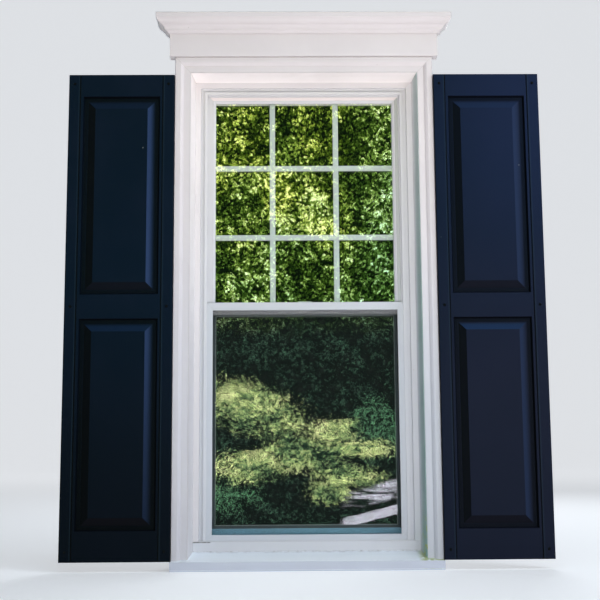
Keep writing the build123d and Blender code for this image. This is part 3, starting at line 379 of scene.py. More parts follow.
def cover_gap_shadow(vinyl, base):
    """Painted shadow of the slit along the top edge of the cover strip, at its left end."""
    at_edge = vinyl.axis("Z").ease(*COVER_TOP_Z) * vinyl.axis("X").ease(*COVER_LEFT_END_X)
    return vinyl.mixed(at_edge * vinyl.noise(160.0, 2.0).ease(0.2, 0.5) * 0.8, base, tone(0.05, 0.05, 0.06))


def float_glass():
    """Slightly green clear glass with the long faint waves of real panes."""
    glass = Finish("float_glass")
    wave = glass.noise(3.2, 1.0)
    return glass.done(glass.skin(
        Base_Color=tone(0.90, 0.965, 0.92), Roughness=0.0, IOR=1.52, Transmission_Weight=1.0,
        Specular_IOR_Level=1.0, Normal=glass.relief(wave, 0.00006)))


def woven_mesh():
    """Charcoal insect mesh: round threads each way, with open holes between them."""
    mesh = Finish("woven_mesh")
    pitch, hole_share = 0.0014, 0.395
    across = (mesh.axis("X").repeat(pitch) / pitch - 0.5).absolute()
    upright = (mesh.axis("Z").repeat(pitch) / pitch - 0.5).absolute()
    thread = across.highest(upright) > hole_share
    dust = mesh.noise(30.0, 4.0).ease(0.45, 0.8)
    base = mesh.mixed(dust * 0.4, tone(0.006, 0.008, 0.009), tone(0.03, 0.034, 0.032))
    return mesh.done(mesh.skin(Base_Color=base, Roughness=0.55, Alpha=thread, Specular_IOR_Level=0.1))


def shutter_tints(plastic, base, left_low_shade):
    """Painted sky light on the upper right shutter, dust lower on the right one, and painted shade over the
    lower part of the left one.
    """
    # Painted sky light, strongest high on the right shutter
    painted_sky_light = plastic.axis("X").ease(0.2, 0.8) * plastic.axis("Z").ease(0.4, 1.7)
    base = plastic.mixed(painted_sky_light * 0.8, base, tone(0.0100, 0.0185, 0.053))
    dusty = plastic.axis("X").ease(0.2, 0.6) * plastic.axis("Z").ease(1.5, 0.6)
    base = plastic.mixed(dusty * 0.55, base, tone(0.0115, 0.0130, 0.0270))
    # Painted shade over the lower part of the left shutter
    return plastic.mixed(left_low_shade * 0.75, base, tone(0.0014, 0.0026, 0.0050))


def bevel_tints(plastic, base, inward, left_low_shade):
    """Sky light on the right and upper bevels of the raised panels, shade on the left and lower ones."""
    facing = plastic.facing()
    front = plastic.axis("Y", facing) < -0.3
    sideways, upward = plastic.axis("X", facing), plastic.axis("Z", facing)
    on_bevel = inward.ease(0.018, 0.038)
    more_left = 0.30 + plastic.axis("X").ease(0.1, -0.1) * 0.55
    sky_side = sideways.ease(0.03, 0.15) * front * on_bevel * (1.0 - left_low_shade * 0.70) * more_left
    more_right = 1.0 - plastic.axis("X").ease(0.2, -0.2) * 0.5
    more_low = 0.25 + plastic.axis("Z").ease(1.0, 0.9) * 0.35
    sky_top = upward.ease(0.03, 0.15) * front * inward.ease(0.016, 0.030) * more_right * more_low
    base = plastic.mixed(sky_side, base, tone(0.024, 0.048, 0.118))
    base = plastic.mixed(sky_top, base, tone(0.008, 0.028, 0.080))
    base = plastic.mixed(sideways.ease(-0.03, -0.15) * front * 0.85, base, tone(0.0004, 0.0008, 0.0014))
    return plastic.mixed(upward.ease(-0.03, -0.15) * front * 0.7, base, tone(0.0034, 0.0030, 0.0042))


def upright_lines(across, places, outer, inner):
    """Thin upright lines at two distances from the window's middle."""
    near, far = ((across - place).absolute().ease(outer, inner) for place in places)
    return near.highest(far)


def shutter_plastic():
    """Dark blue moulded shutter: fine upright grain, chalky bloom and a few pale specks, with painted sky
    light, painted shade in its creases, recesses and lower left, and painted highlights beside the stiles.
    """
    plastic = Finish("shutter_plastic")
    grain = plastic.noise(60.0, 4.0, 0.65, plastic.stretched(9.0, 9.0, 0.55))
    pebble = plastic.noise(900.0, 2.0)
    bloom = plastic.noise(4.0, 4.0, 0.6).ease(0.35, 0.8)
    specks = plastic.specks(21.0, 0.055, 0.05)
    # Where painted shade lies on the left shutter, deepest low down
    left_low_shade = plastic.axis("X").ease(0.2, -0.2) * plastic.axis("Z").ease(1.1, 0.1)
    across, rise = plastic.axis("X").absolute(), plastic.axis("Z")
    from_side = (across - OPENING_NEAR).lowest(OPENING_FAR - across)
    from_low, from_high = ((rise - bottom).lowest(top - rise) for bottom, top in (LOW_OPENING, HIGH_OPENING))
    inward = from_side.lowest(from_low.highest(from_high))
    base = plastic.mixed(bloom * 0.6, tone(0.0018, 0.0070, 0.0165), tone(0.0060, 0.0115, 0.0245))
    base = shutter_tints(plastic, base, left_low_shade)
    base = bevel_tints(plastic, base, inward, left_low_shade)
    weather_side = plastic.axis("Y") < SHUTTER_SKIN_Y
    joint = upright_lines(across, STILE_JOINTS, 0.0026, 0.0014)
    # Painted highlights along the proud inner edges of the stiles
    edge_highlight = upright_lines(across, HIGHLIGHT_LINES, 0.0024, 0.0012)
    # Painted shade in the ring around each raised panel
    recess = inward.ease(0.0, 0.002) * inward.ease(0.025, 0.013) * 0.8
    shadow = plastic.crease(0.014).ease(0.08, 0.75).highest(joint.highest(recess) * weather_side)
    base = plastic.mixed(edge_highlight * weather_side * 0.22, base, tone(0.022, 0.045, 0.065))
    base = plastic.mixed(shadow * 0.85, base, tone(0.0003, 0.0006, 0.0009))
    base = plastic.mixed(specks * 0.8, base, tone(0.20, 0.24, 0.26))
    return plastic.done(plastic.skin(
        Base_Color=base, Roughness=0.44 + bloom * 0.12 + grain * 0.08, Specular_IOR_Level=0.05,
        Normal=plastic.relief(grain * 0.6 + pebble * 0.4, 0.00018, 0.0016)))


def plain_plastic(name, colour, roughness=0.45, specular=0.5):
    """Moulded plastic, or paint on a small casting: a faint mottle, with painted shade in the corners."""
    plastic = Finish(name)
    mottle = plastic.noise(40.0, 3.0)
    dark = tone(*(part * 0.25 for part in colour[:3]))
    base = plastic.mixed(plastic.crease(0.003) * 0.3 + mottle * 0.08, colour, dark)
    return plastic.done(plastic.skin(
        Base_Color=base, Roughness=roughness + mottle * 0.08, Specular_IOR_Level=specular,
        Normal=plastic.relief(mottle, 0.00003, 0.0004)))


def bright_metal(name, colour, roughness, brushing=(1.0, 1.0, 1.0)):
    """Rolled or drawn metal with marks along its length."""
    metal = Finish(name)
    marks = metal.noise(160.0, 3.0, 0.6, metal.stretched(*brushing))
    blotches = metal.noise(25.0, 3.0).ease(0.5, 0.8)
    base = metal.mixed(blotches * 0.35, colour, tone(0.16, 0.15, 0.14))
    return metal.done(metal.skin(
        Base_Color=base, Metallic=1.0, Roughness=roughness + marks * 0.15 + blotches * 0.1,
        Normal=metal.relief(marks, 0.00002, 0.0003)))


finishes = {
    "trim_paint": brushed_paint("trim_paint_white", TRIM_WHITE),
    "cap": brushed_paint("cap_paint_white", tone(0.80, 0.785, 0.78)),
    "vinyl": moulded_vinyl("vinyl_white", VINYL_SHADED_WHITE),
    "glass": float_glass(),
    "spacer": bright_metal("spacer_metal", tone(0.10, 0.105, 0.105), 0.45),
    "grille": moulded_vinyl("grille_white", tone(0.50, 0.52, 0.52), 0.4),
    # The screen bars' white is set darker than their own, for the recess: painted shade
    "screen_bar": moulded_vinyl("screen_bar_white", tone(0.60, 0.62, 0.655), 0.38),
    "mesh": woven_mesh(),
    "spline": plain_plastic("spline_charcoal", tone(0.03, 0.03, 0.032), 0.6),
    "corner_key": plain_plastic("corner_key_white", tone(0.62, 0.63, 0.64)),
    "spring_steel": bright_metal("spring_steel", tone(0.55, 0.55, 0.56), 0.28, (1.0, 1.0, 12.0)),
    "pivot_steel": bright_metal("pivot_zinc", tone(0.58, 0.58, 0.60), 0.42),
    "shoe_plastic": plain_plastic("shoe_grey", tone(0.45, 0.46, 0.47)),
    "latch_plastic": plain_plastic("latch_white", tone(0.74, 0.745, 0.75), 0.4),
    "lock_paint": plain_plastic("lock_white", tone(0.76, 0.76, 0.77), 0.33),
    "shutter": shutter_plastic(),
    "shutter_screw": plain_plastic("shutter_screw_blue", SCREW_BLUE, 0.6, 0.08),
}
# A lit copy of the trim's paint, with painted shade on the front-facing stop
reveal_paint = brushed_paint("reveal_paint", REVEAL_LIT_WHITE, stop_painted_shade)
# Painted shade where the lower sash faces the screen
behind_screen = moulded_vinyl("lower_sash_white", VINYL_SHADED_WHITE, film=stile_painted_shade)
own_finishes = {
    "jamb_left": reveal_paint,
    "jamb_head": reveal_paint,
    # Painted shade and algae on the right reveal
    "jamb_right": brushed_paint("right_reveal_paint", tone(0.80, 0.795, 0.81), shade_and_algae_film),
    "casing_right": brushed_paint("right_casing_paint", TRIM_WHITE, shaded_film),
    # A lit copy of the vinyl, brighter and warmer: painted light
    "upper_top_rail": moulded_vinyl("top_rail_white", tone(0.90, 0.82, 0.82)),
    # A shaded copy of the vinyl, darker: painted shade from the right reveal
    "upper_stile_right": moulded_vinyl("right_stile_white", tone(0.47, 0.485, 0.475)),
    # Painted shade on the bottom rail behind the screen
    "lower_bottom_rail": moulded_vinyl("bottom_rail_white", VINYL_SHADED_WHITE, film=rail_painted_shade),
    "lower_beads": behind_screen,
    "lower_stile_left": behind_screen,
    "lower_stile_right": behind_screen,
    "lower_meeting_rail": behind_screen,
    # Painted shadow of the slit above the cover strip
    "sill_cover": moulded_vinyl("sill_cover_white", VINYL_SHADED_WHITE, film=cover_gap_shadow),
    # The sill's paint is given a bluer white: painted sky light
    "sill": brushed_paint("sill_paint", tone(0.70, 0.74, 0.84), sill_weathering_and_sky_light),
}

# Clear glass would otherwise be a blind to the lamps
for pane in ("upper_glass", "lower_glass"):
    nodes[pane].visible_shadow = False

for subpart in frame["record"]["subparts"]:
    node = subpart["node"]
    finish = own_finishes.get(node, finishes[subpart["material_slot"]])
    for place in nodes[node].material_slots:
        place.material = finish


# Added pieces

def add_piece(name, shape, finish, body):
    """Puts a finished bmesh or mesh into the scene as one piece that rides on a body."""
    if isinstance(shape, bmesh.types.BMesh):
        bmesh.ops.recalc_face_normals(shape, faces=shape.faces)
        mesh = bpy.data.meshes.new(name)
        shape.to_mesh(mesh)
        shape.free()
    else:
        mesh = shape
        mesh.name = name
    mesh.materials.clear()
    mesh.materials.append(finish)
    for face in mesh.polygons:
        face.use_smooth = True
        face.material_index = 0
    piece = bpy.data.objects.new(name, mesh)
    bpy.context.scene.collection.objects.link(piece)
    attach(piece, body)
    return piece


BEAD_SIDES = 7


def bead_along(path, radius, seed, wobble):
    """A closed hand-run bead of sealant along a path of points, thicker and thinner by turns."""
    luck = random.Random(seed)
    bead = bmesh.new()
    rings = []
    swell = 1.0
    for number, point in enumerate(path):
        before = path[max(number - 1, 0)]
        after = path[min(number + 1, len(path) - 1)]
        along = (Vector(after) - Vector(before)).normalized()
        side = along.cross(Vector((0.0, -0.7, 0.7))).normalized()
        rise = side.cross(along).normalized()
        swell = 0.7 * swell + 0.3 * luck.uniform(1 - wobble, 1 + wobble)
        at_end = number in (0, len(path) - 1)
        size = radius * swell * (0.35 if at_end else 1.0)
        ring = []
        for step in range(BEAD_SIDES):
            angle = 2 * math.pi * step / BEAD_SIDES
            outward = math.cos(angle) * side + math.sin(angle) * rise
            ring.append(bead.verts.new(Vector(point) + size * outward))
        rings.append(ring)
    for first, second in zip(rings, rings[1:]):
        for step in range(BEAD_SIDES):
            onward = (step + 1) % BEAD_SIDES
            bead.faces.new((first[step], first[onward], second[onward], second[step]))
    bead.faces.new(rings[0])
    bead.faces.new(rings[-1])
    return bead


def sealant(name, colour):
    """Old sealant: smeared, dusty and darker in patches."""
    seal = Finish(name)
    grime = seal.noise(55.0, 5.0, 0.7).ease(0.45, 0.68)
    base = seal.mixed(grime * 0.75, colour, tone(0.20, 0.20, 0.21))
    lumps = seal.noise(240.0, 3.0)
    return seal.done(seal.skin(Base_Color=base, Roughness=0.6, Normal=seal.relief(lumps, 0.0003)))


def straight_path(start, end, count):
    """Points at even steps from start to end."""
    start, end = Vector(start), Vector(end)
    return [tuple(start.lerp(end, step / (count - 1))) for step in range(count)]


old_sealant = sealant("old_sealant", tone(0.62, 0.66, 0.72))

cover_low, cover_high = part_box("sill_cover")
seal_y, seal_z = cover_low[1] - 0.0006, cover_low[2] + 0.0004
cover_foot = straight_path(
    (cover_low[0] + 0.002, seal_y, seal_z), (cover_high[0] - 0.002, seal_y, seal_z), 160)
add_piece("sill_sealant", bead_along(cover_foot, 0.0017, seed=4, wobble=0.55),
          old_sealant, "frame")


def profile_at_wall(node):
    """The outermost points of a moulding's end where it meets the wall, from the top down."""
    outermost = {}
    for vertex in nodes[node].data.vertices:
        x, y, z = vertex.co
        if abs(y) < 0.0005:
            height = round(z, 4)
            if abs(x) > abs(outermost.get(height, 0.0)):
                outermost[height] = x
    return [(x, 0.0015, height) for height, x in sorted(outermost.items(), reverse=True)]


add_piece("crown_sealant", bead_along(profile_at_wall("crown_left"), 0.0022, seed=9, wobble=0.7),
          old_sealant, "frame")


# Pieces that repeat, made with Geometry Nodes

class Pattern(Nodes):
    """One Geometry Nodes tree with named inputs."""

    def __init__(self, name, inputs):
        super().__init__(bpy.data.node_groups.new(name, "GeometryNodeTree"))
        self.keys = {}
        for label, kind in [("Geometry", "NodeSocketGeometry")] + inputs:
            socket = self.tree.interface.new_socket(label, in_out="INPUT", socket_type=kind)
            self.keys[label] = socket.identifier
        self.tree.interface.new_socket("Geometry", in_out="OUTPUT", socket_type="NodeSocketGeometry")

    def given(self, label):
        """The tree's own input of that name."""
        return self.node("NodeGroupInput", out=label)

    def varied(self, low, high):
        """A number between low and high, another one for each copy."""
        return self.node("FunctionNodeRandomValue", {"data_type": "FLOAT"},
                         {2: low, 3: high, "Seed": self.given("Seed")}, 1)

    def end(self, geometry, finish):
        """Ends the tree with real geometry in its own finish."""
        whole = self.node("GeometryNodeRealizeInstances", None, {0: geometry})
        dressed = self.node("GeometryNodeSetMaterial", None, {"Geometry": whole, "Material": finish})
        self.node("NodeGroupOutput", None, {0: dressed})

    def applied(self, name, points, edges, values):
        """Runs the tree on a mesh of points and edges and gives back the plain mesh."""
        seed_mesh = bpy.data.meshes.new(name)
        seed_mesh.from_pydata(points, edges, [])
        holder = bpy.data.objects.new(name, seed_mesh)
        bpy.context.scene.collection.objects.link(holder)
        modifier = holder.modifiers.new(name, "NODES")
        modifier.node_group = self.tree
        for label, value in values.items():
            modifier[self.keys[label]] = value
        bpy.context.view_layer.update()
        ready = holder.evaluated_get(bpy.context.evaluated_depsgraph_get())
        result = bpy.data.meshes.new_from_object(ready)
        holder.modifiers.remove(modifier)
        bpy.data.objects.remove(holder)
        return result


TUFT_SIDES = 5
TIP_RADIUS = 0.0007


def pile_pattern(finish):
    """Tufts along the seed mesh's edges, all leaning outwards from the window's middle."""
    pile = Pattern("pile_rows", [("Pitch", "NodeSocketFloat"), ("Tuft height", "NodeSocketFloat"),
                                 ("Tuft radius", "NodeSocketFloat"), ("Seed", "NodeSocketInt")])
    line = pile.node("GeometryNodeMeshToCurve", None, {"Mesh": pile.given("Geometry")})
    row = pile.node("GeometryNodeResampleCurve", {"mode": "LENGTH"},
                    {"Curve": line, "Length": pile.given("Pitch")})
    tuft = pile.node("GeometryNodeMeshCone", {"fill_type": "NGON"}, {
        "Vertices": TUFT_SIDES, "Radius Top": TIP_RADIUS, "Radius Bottom": pile.given("Tuft radius"),
        "Depth": pile.given("Tuft height")})
    across = pile.node("ShaderNodeSeparateXYZ", None, {0: pile.node("GeometryNodeInputPosition")}, "X")
    turn = pile.node("ShaderNodeCombineXYZ", None, {1: across.sign() * pile.varied(1.45, 1.69)})
    size = pile.node("ShaderNodeCombineXYZ", None, {0: 1.0, 1: 1.0, 2: pile.varied(0.86, 1.0)})
    rows = pile.node("GeometryNodeInstanceOnPoints", None,
                     {"Points": row, "Instance": tuft, "Rotation": turn, "Scale": size})
    pile.end(rows, finish)
    return pile


def pile_fibre():
    """Grey woven pile, light and dark strand by strand."""
    fibre = Finish("pile_grey")
    strand = fibre.noise(700.0, 2.0)
    base = fibre.mixed(strand, tone(0.20, 0.20, 0.21), tone(0.42, 0.42, 0.43))
    return fibre.done(fibre.skin(Base_Color=base, Roughness=0.9, Normal=fibre.relief(strand, 0.0002)))


pile_grey = pile_fibre()
pile_rows = pile_pattern(pile_grey)
PILE_X = 0.3514
PILE_FROM_FACE = (0.006, 0.026)
# Each sash with the Y of its outer face and the heights between which its pile runs
PILE_RUNS = (("upper", 0.073, 0.945, 1.675), ("lower", 0.112, 0.160, 0.905))
for sash, face, low, high in PILE_RUNS:
    points, edges = [], []
    for edge_x in (-PILE_X, PILE_X):
        for depth in PILE_FROM_FACE:
            edges.append((len(points), len(points) + 1))
            points += [(edge_x, face + depth, low), (edge_x, face + depth, high)]
    strips = pile_rows.applied(sash + "_pile", points, edges, {
        "Pitch": 0.004, "Tuft height": 0.0080, "Tuft radius": 0.0016, "Seed": 7})
    add_piece(sash + "_pile", strips, pile_grey, sash + "_sash")


def screw_mesh(head_radius, head_height, shank_radius, shank_length, pitch):
    """A pan-head screw with a cross recess, head upwards, its seat at height 0."""
    sides = 16
    screw = bmesh.new()

    def ring(radius, height):
        angles = [2 * math.pi * step / sides for step in range(sides)]
        return [screw.verts.new((radius * math.cos(angle), radius * math.sin(angle), height))
                for angle in angles]

    outline = [(shank_radius * 0.15, -shank_length), (shank_radius * 0.8, -shank_length + 2 * pitch)]
    turns = int((shank_length * 0.7) / pitch)
    for turn in range(turns):
        height = -shank_length + (2.5 + turn) * pitch
        outline += [(shank_radius, height), (shank_radius * 0.74, height + 0.5 * pitch)]
    outline += [(shank_radius * 0.8, -0.0004), (shank_radius * 0.8, 0.0), (head_radius, 0.0),
                (head_radius, head_height * 0.35), (head_radius * 0.9, head_height * 0.72),
                (head_radius * 0.72, head_height * 0.93), (head_radius * 0.52, head_height)]
    rings = [ring(radius, height) for radius, height in outline]
    screw.faces.new(rings[0])
    for first, second in zip(rings, rings[1:]):
        for step in range(sides):
            onward = (step + 1) % sides
            screw.faces.new((first[step], first[onward], second[onward], second[step]))
    arm, half, floor = head_radius * 0.40, head_radius * 0.11, head_height * 0.35
    corners = [(arm, -half), (arm, half), (half, half), (half, arm), (-half, arm), (-half, half),
               (-arm, half), (-arm, -half), (-half, -half), (-half, -arm), (half, -arm), (half, -half)]
    rim = [screw.verts.new((x, y, head_height)) for x, y in corners]
    pit = [screw.verts.new((x * 0.8, y * 0.8, floor)) for x, y in corners]
    count = len(corners)
    rim_edges = [screw.edges.new((rim[step], rim[(step + 1) % count])) for step in range(count)]
    top_edges = [edge for edge in screw.edges if edge.verts[0] in rings[-1] and edge.verts[1] in rings[-1]]
    bmesh.ops.triangle_fill(screw, use_beauty=True, edges=rim_edges + top_edges)
    for step in range(count):
        onward = (step + 1) % count
        screw.faces.new((rim[step], rim[onward], pit[onward], pit[step]))
    screw.faces.new(pit)
    bmesh.ops.recalc_face_normals(screw, faces=screw.faces)
    mesh = bpy.data.meshes.new("screw")
    screw.to_mesh(mesh)
    screw.free()
    return mesh


def screw_pattern(finish):
    """The same screw on every point, turned the given way, each with its own recess angle."""
    heads = Pattern("screw_rows", [("Screw", "NodeSocketObject"), ("Turn", "NodeSocketVector"),
                                   ("Seed", "NodeSocketInt")])
    points = heads.node("GeometryNodeMeshToPoints", None, {"Mesh": heads.given("Geometry")})
    screw = heads.node("GeometryNodeObjectInfo", None, {"Object": heads.given("Screw")}, "Geometry")
    spun = heads.node("ShaderNodeCombineXYZ", None, {2: heads.varied(0.0, 1.57)})
    placed = heads.node("GeometryNodeInstanceOnPoints", None,
                        {"Points": points, "Instance": screw, "Rotation": heads.given("Turn")})
    turned = heads.node("GeometryNodeRotateInstances", None, {"Instances": placed, "Rotation": spun})
    heads.end(turned, finish)
    return heads


def add_screws(name, places, turn, screw, finish, body, seed):
    """One piece with a flat-shaded screw at each place."""
    pattern_screw = bpy.data.objects.new("pattern_" + name, screw)
    bpy.context.scene.collection.objects.link(pattern_screw)
    mesh = screw_pattern(finish).applied(
        name, places, [], {"Screw": pattern_screw, "Turn": turn, "Seed": seed})
    bpy.data.objects.remove(pattern_screw)
    piece = add_piece(name, mesh, finish, body)
    for face in piece.data.polygons:
        face.use_smooth = False
    return piece


SCREW_X = (-0.8152, -0.4825, 0.4825, 0.8152)
SCREW_SEAT_Y = -0.044
SCREW_Z = (0.067, 0.898, 1.697)
HEAD_OUTWARD = (math.pi / 2, 0.0, 0.0)
shutter_screws = add_screws(
    "shutter_pan_screws", [(x, SCREW_SEAT_Y, z) for x in SCREW_X for z in SCREW_Z], HEAD_OUTWARD,
    screw_mesh(head_radius=0.0048, head_height=0.0024, shank_radius=0.0021, shank_length=0.056, pitch=0.0022),
    finishes["shutter_screw"], "frame", seed=3)
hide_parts("shutter_screws")


# Studio

AIR_LIGHT = 0.15
AIR_SEEN = 0.80
CAMERA_PLACE = (-0.0637, -3.6, 0.4429)
CAMERA_TURN = (0.709, 7.597, -0.381)
FOCAL_LENGTH = 62.044
SENSOR_WIDTH = 36.0


def aim(yaw, pitch, roll):
    """The camera's turn, in degrees: right, up and anticlockwise are positive."""
    yaw, pitch, roll = (math.radians(angle) for angle in (yaw, pitch, roll))
    forward = Vector((math.sin(yaw) * math.cos(pitch), math.cos(yaw) * math.cos(pitch), math.sin(pitch)))
    right = Vector((math.cos(yaw), -math.sin(yaw), 0.0))
    up = right.cross(forward)
    level_right, level_up = right, up
    right = math.cos(roll) * level_right + math.sin(roll) * level_up
    up = math.cos(roll) * level_up - math.sin(roll) * level_right
    return Matrix((right, up, -forward)).transposed().to_4x4()


def set_camera():
    """The camera stands where the photograph was taken from."""
    camera = bpy.data.cameras.new("photo_camera")
    camera.sensor_width = SENSOR_WIDTH
    camera.lens = FOCAL_LENGTH
    holder = bpy.data.objects.new("photo_camera", camera)
    holder.matrix_world = Matrix.Translation(CAMERA_PLACE) @ aim(*CAMERA_TURN)
    bpy.context.scene.collection.objects.link(holder)
    bpy.context.scene.camera = holder


def add_lamp(name, place, target, size, watts, colour):
    """A soft rectangular lamp that shines from its place towards a target."""
    light = bpy.data.lights.new(name, "AREA")
    light.shape = "RECTANGLE"
    light.size, light.size_y = size
    light.energy = watts
    light.color = colour
    lamp = bpy.data.objects.new(name, light)
    lamp.location = place
    lamp.rotation_euler = (Vector(target) - Vector(place)).to_track_quat("-Z", "Y").to_euler()
    bpy.context.scene.collection.objects.link(lamp)
    return lamp


def add_stage(name, mesh, finish):
    """A piece of the studio, which isn't part of the window."""
    mesh.materials.append(finish)
    piece = bpy.data.objects.new(name, mesh)
    bpy.context.scene.collection.objects.link(piece)
    return piece


def sweep_mesh():
    """The studio floor, which turns up behind the window into the backdrop."""
    half, front, turn, height, radius = 16.0, -14.0, 14.0, 12.0, 4.0
    profile = [(front, 0.0)]
    for step in range(17):
        angle = math.pi / 2 * step / 16
        profile.append((turn - radius + radius * math.sin(angle), radius - radius * math.cos(angle)))
    profile.append((turn, height))
    sheet = bmesh.new()
    rows = [[sheet.verts.new((x, y, z)) for x in (-half, half)] for y, z in profile]
    for (a, b), (c, d) in zip(rows, rows[1:]):
        sheet.faces.new((a, b, d, c))
    mesh = bpy.data.meshes.new("studio_sweep")
    sheet.to_mesh(mesh)
    sheet.free()
    for face in mesh.polygons:
        face.use_smooth = True
    return mesh


def upright_card(name, half_width, y, low, high):
    """A flat rectangle across the window's width."""
    corners = [(-half_width, y, low), (half_width, y, low), (half_width, y, high), (-half_width, y, high)]
    mesh = bpy.data.meshes.new(name)
    mesh.from_pydata(corners, [], [(0, 1, 2, 3)])
    return mesh


def sweep_paint():
    """Pale studio paper, lifted for the camera so that it stays light, more so farther back."""
    paper = Finish("studio_paper")
    tooth = paper.noise(30.0, 3.0)
    base = paper.mixed(tooth * 0.04, tone(0.74, 0.78, 0.83), tone(0.68, 0.72, 0.77))
    sheet = paper.skin(Base_Color=base, Roughness=0.9, Specular_IOR_Level=0.1)
    lifted = paper.seen_by("Is Camera Ray") * (paper.axis("Y").ease(0.5, 9.0) * 0.27 + 0.36)
    glow = paper.mixed(lifted, tone(0.0, 0.0, 0.0), tone(0.97, 0.98, 1.0))
    lift = paper.node("ShaderNodeEmission", None, {"Color": glow, "Strength": 1.0})
    return paper.done(paper.node("ShaderNodeAddShader", None, {0: sheet, 1: lift}))


# What the panes reflect, in metres on the garden card.
# Each oval has the X and Z of its middle, its half width and half height and, where it slants, its rise.
SUNLIT_CROWN = (0.02, 3.15, 0.50, 0.50, -0.5)
DARK_CROWNS = ((0.88, 3.0, 0.42, 1.3), (0.30, 2.45, 0.36, 0.30), (-0.62, 3.1, 0.42, 0.42))
OPEN_GRASS = (
    (-0.50, 0.80, 0.62, 0.30, -0.25), (-0.48, 0.12, 0.50, 0.20, 0.12), (0.46, 0.52, 0.34, 0.15),
    (0.80, 0.32, 0.40, 0.11), (0.05, 0.27, 0.46, 0.20, 0.1), (0.62, 0.02, 0.42, 0.13, -0.1),
    (0.40, -0.16, 0.26, 0.14))
RIGHT_SHRUB = (0.98, 0.52, 0.42, 0.34)
LEFT_SHRUB = (-0.75, -0.20, 0.4, 0.2)
CANOPY_FOOT = (1.55, 2.1)
DRIVE_SLOPE = 0.26
CROWN_STOPS = (
    (0.0, tone(0.010, 0.030, 0.0)), (0.20, tone(0.06, 0.16, 0.003)), (0.48, tone(0.34, 0.64, 0.04)),
    (0.72, tone(1.6, 2.35, 0.35)), (0.88, tone(4.0, 4.8, 1.1)), (1.0, tone(7.0, 7.6, 3.6)))
GRASS_STOPS = (
    (0.0, tone(0.12, 0.32, 0.18)), (0.18, tone(0.75, 1.55, 0.70)), (0.42, tone(3.2, 4.6, 2.0)),
    (0.70, tone(6.6, 7.7, 2.8)), (1.0, tone(12.0, 12.0, 6.0)))


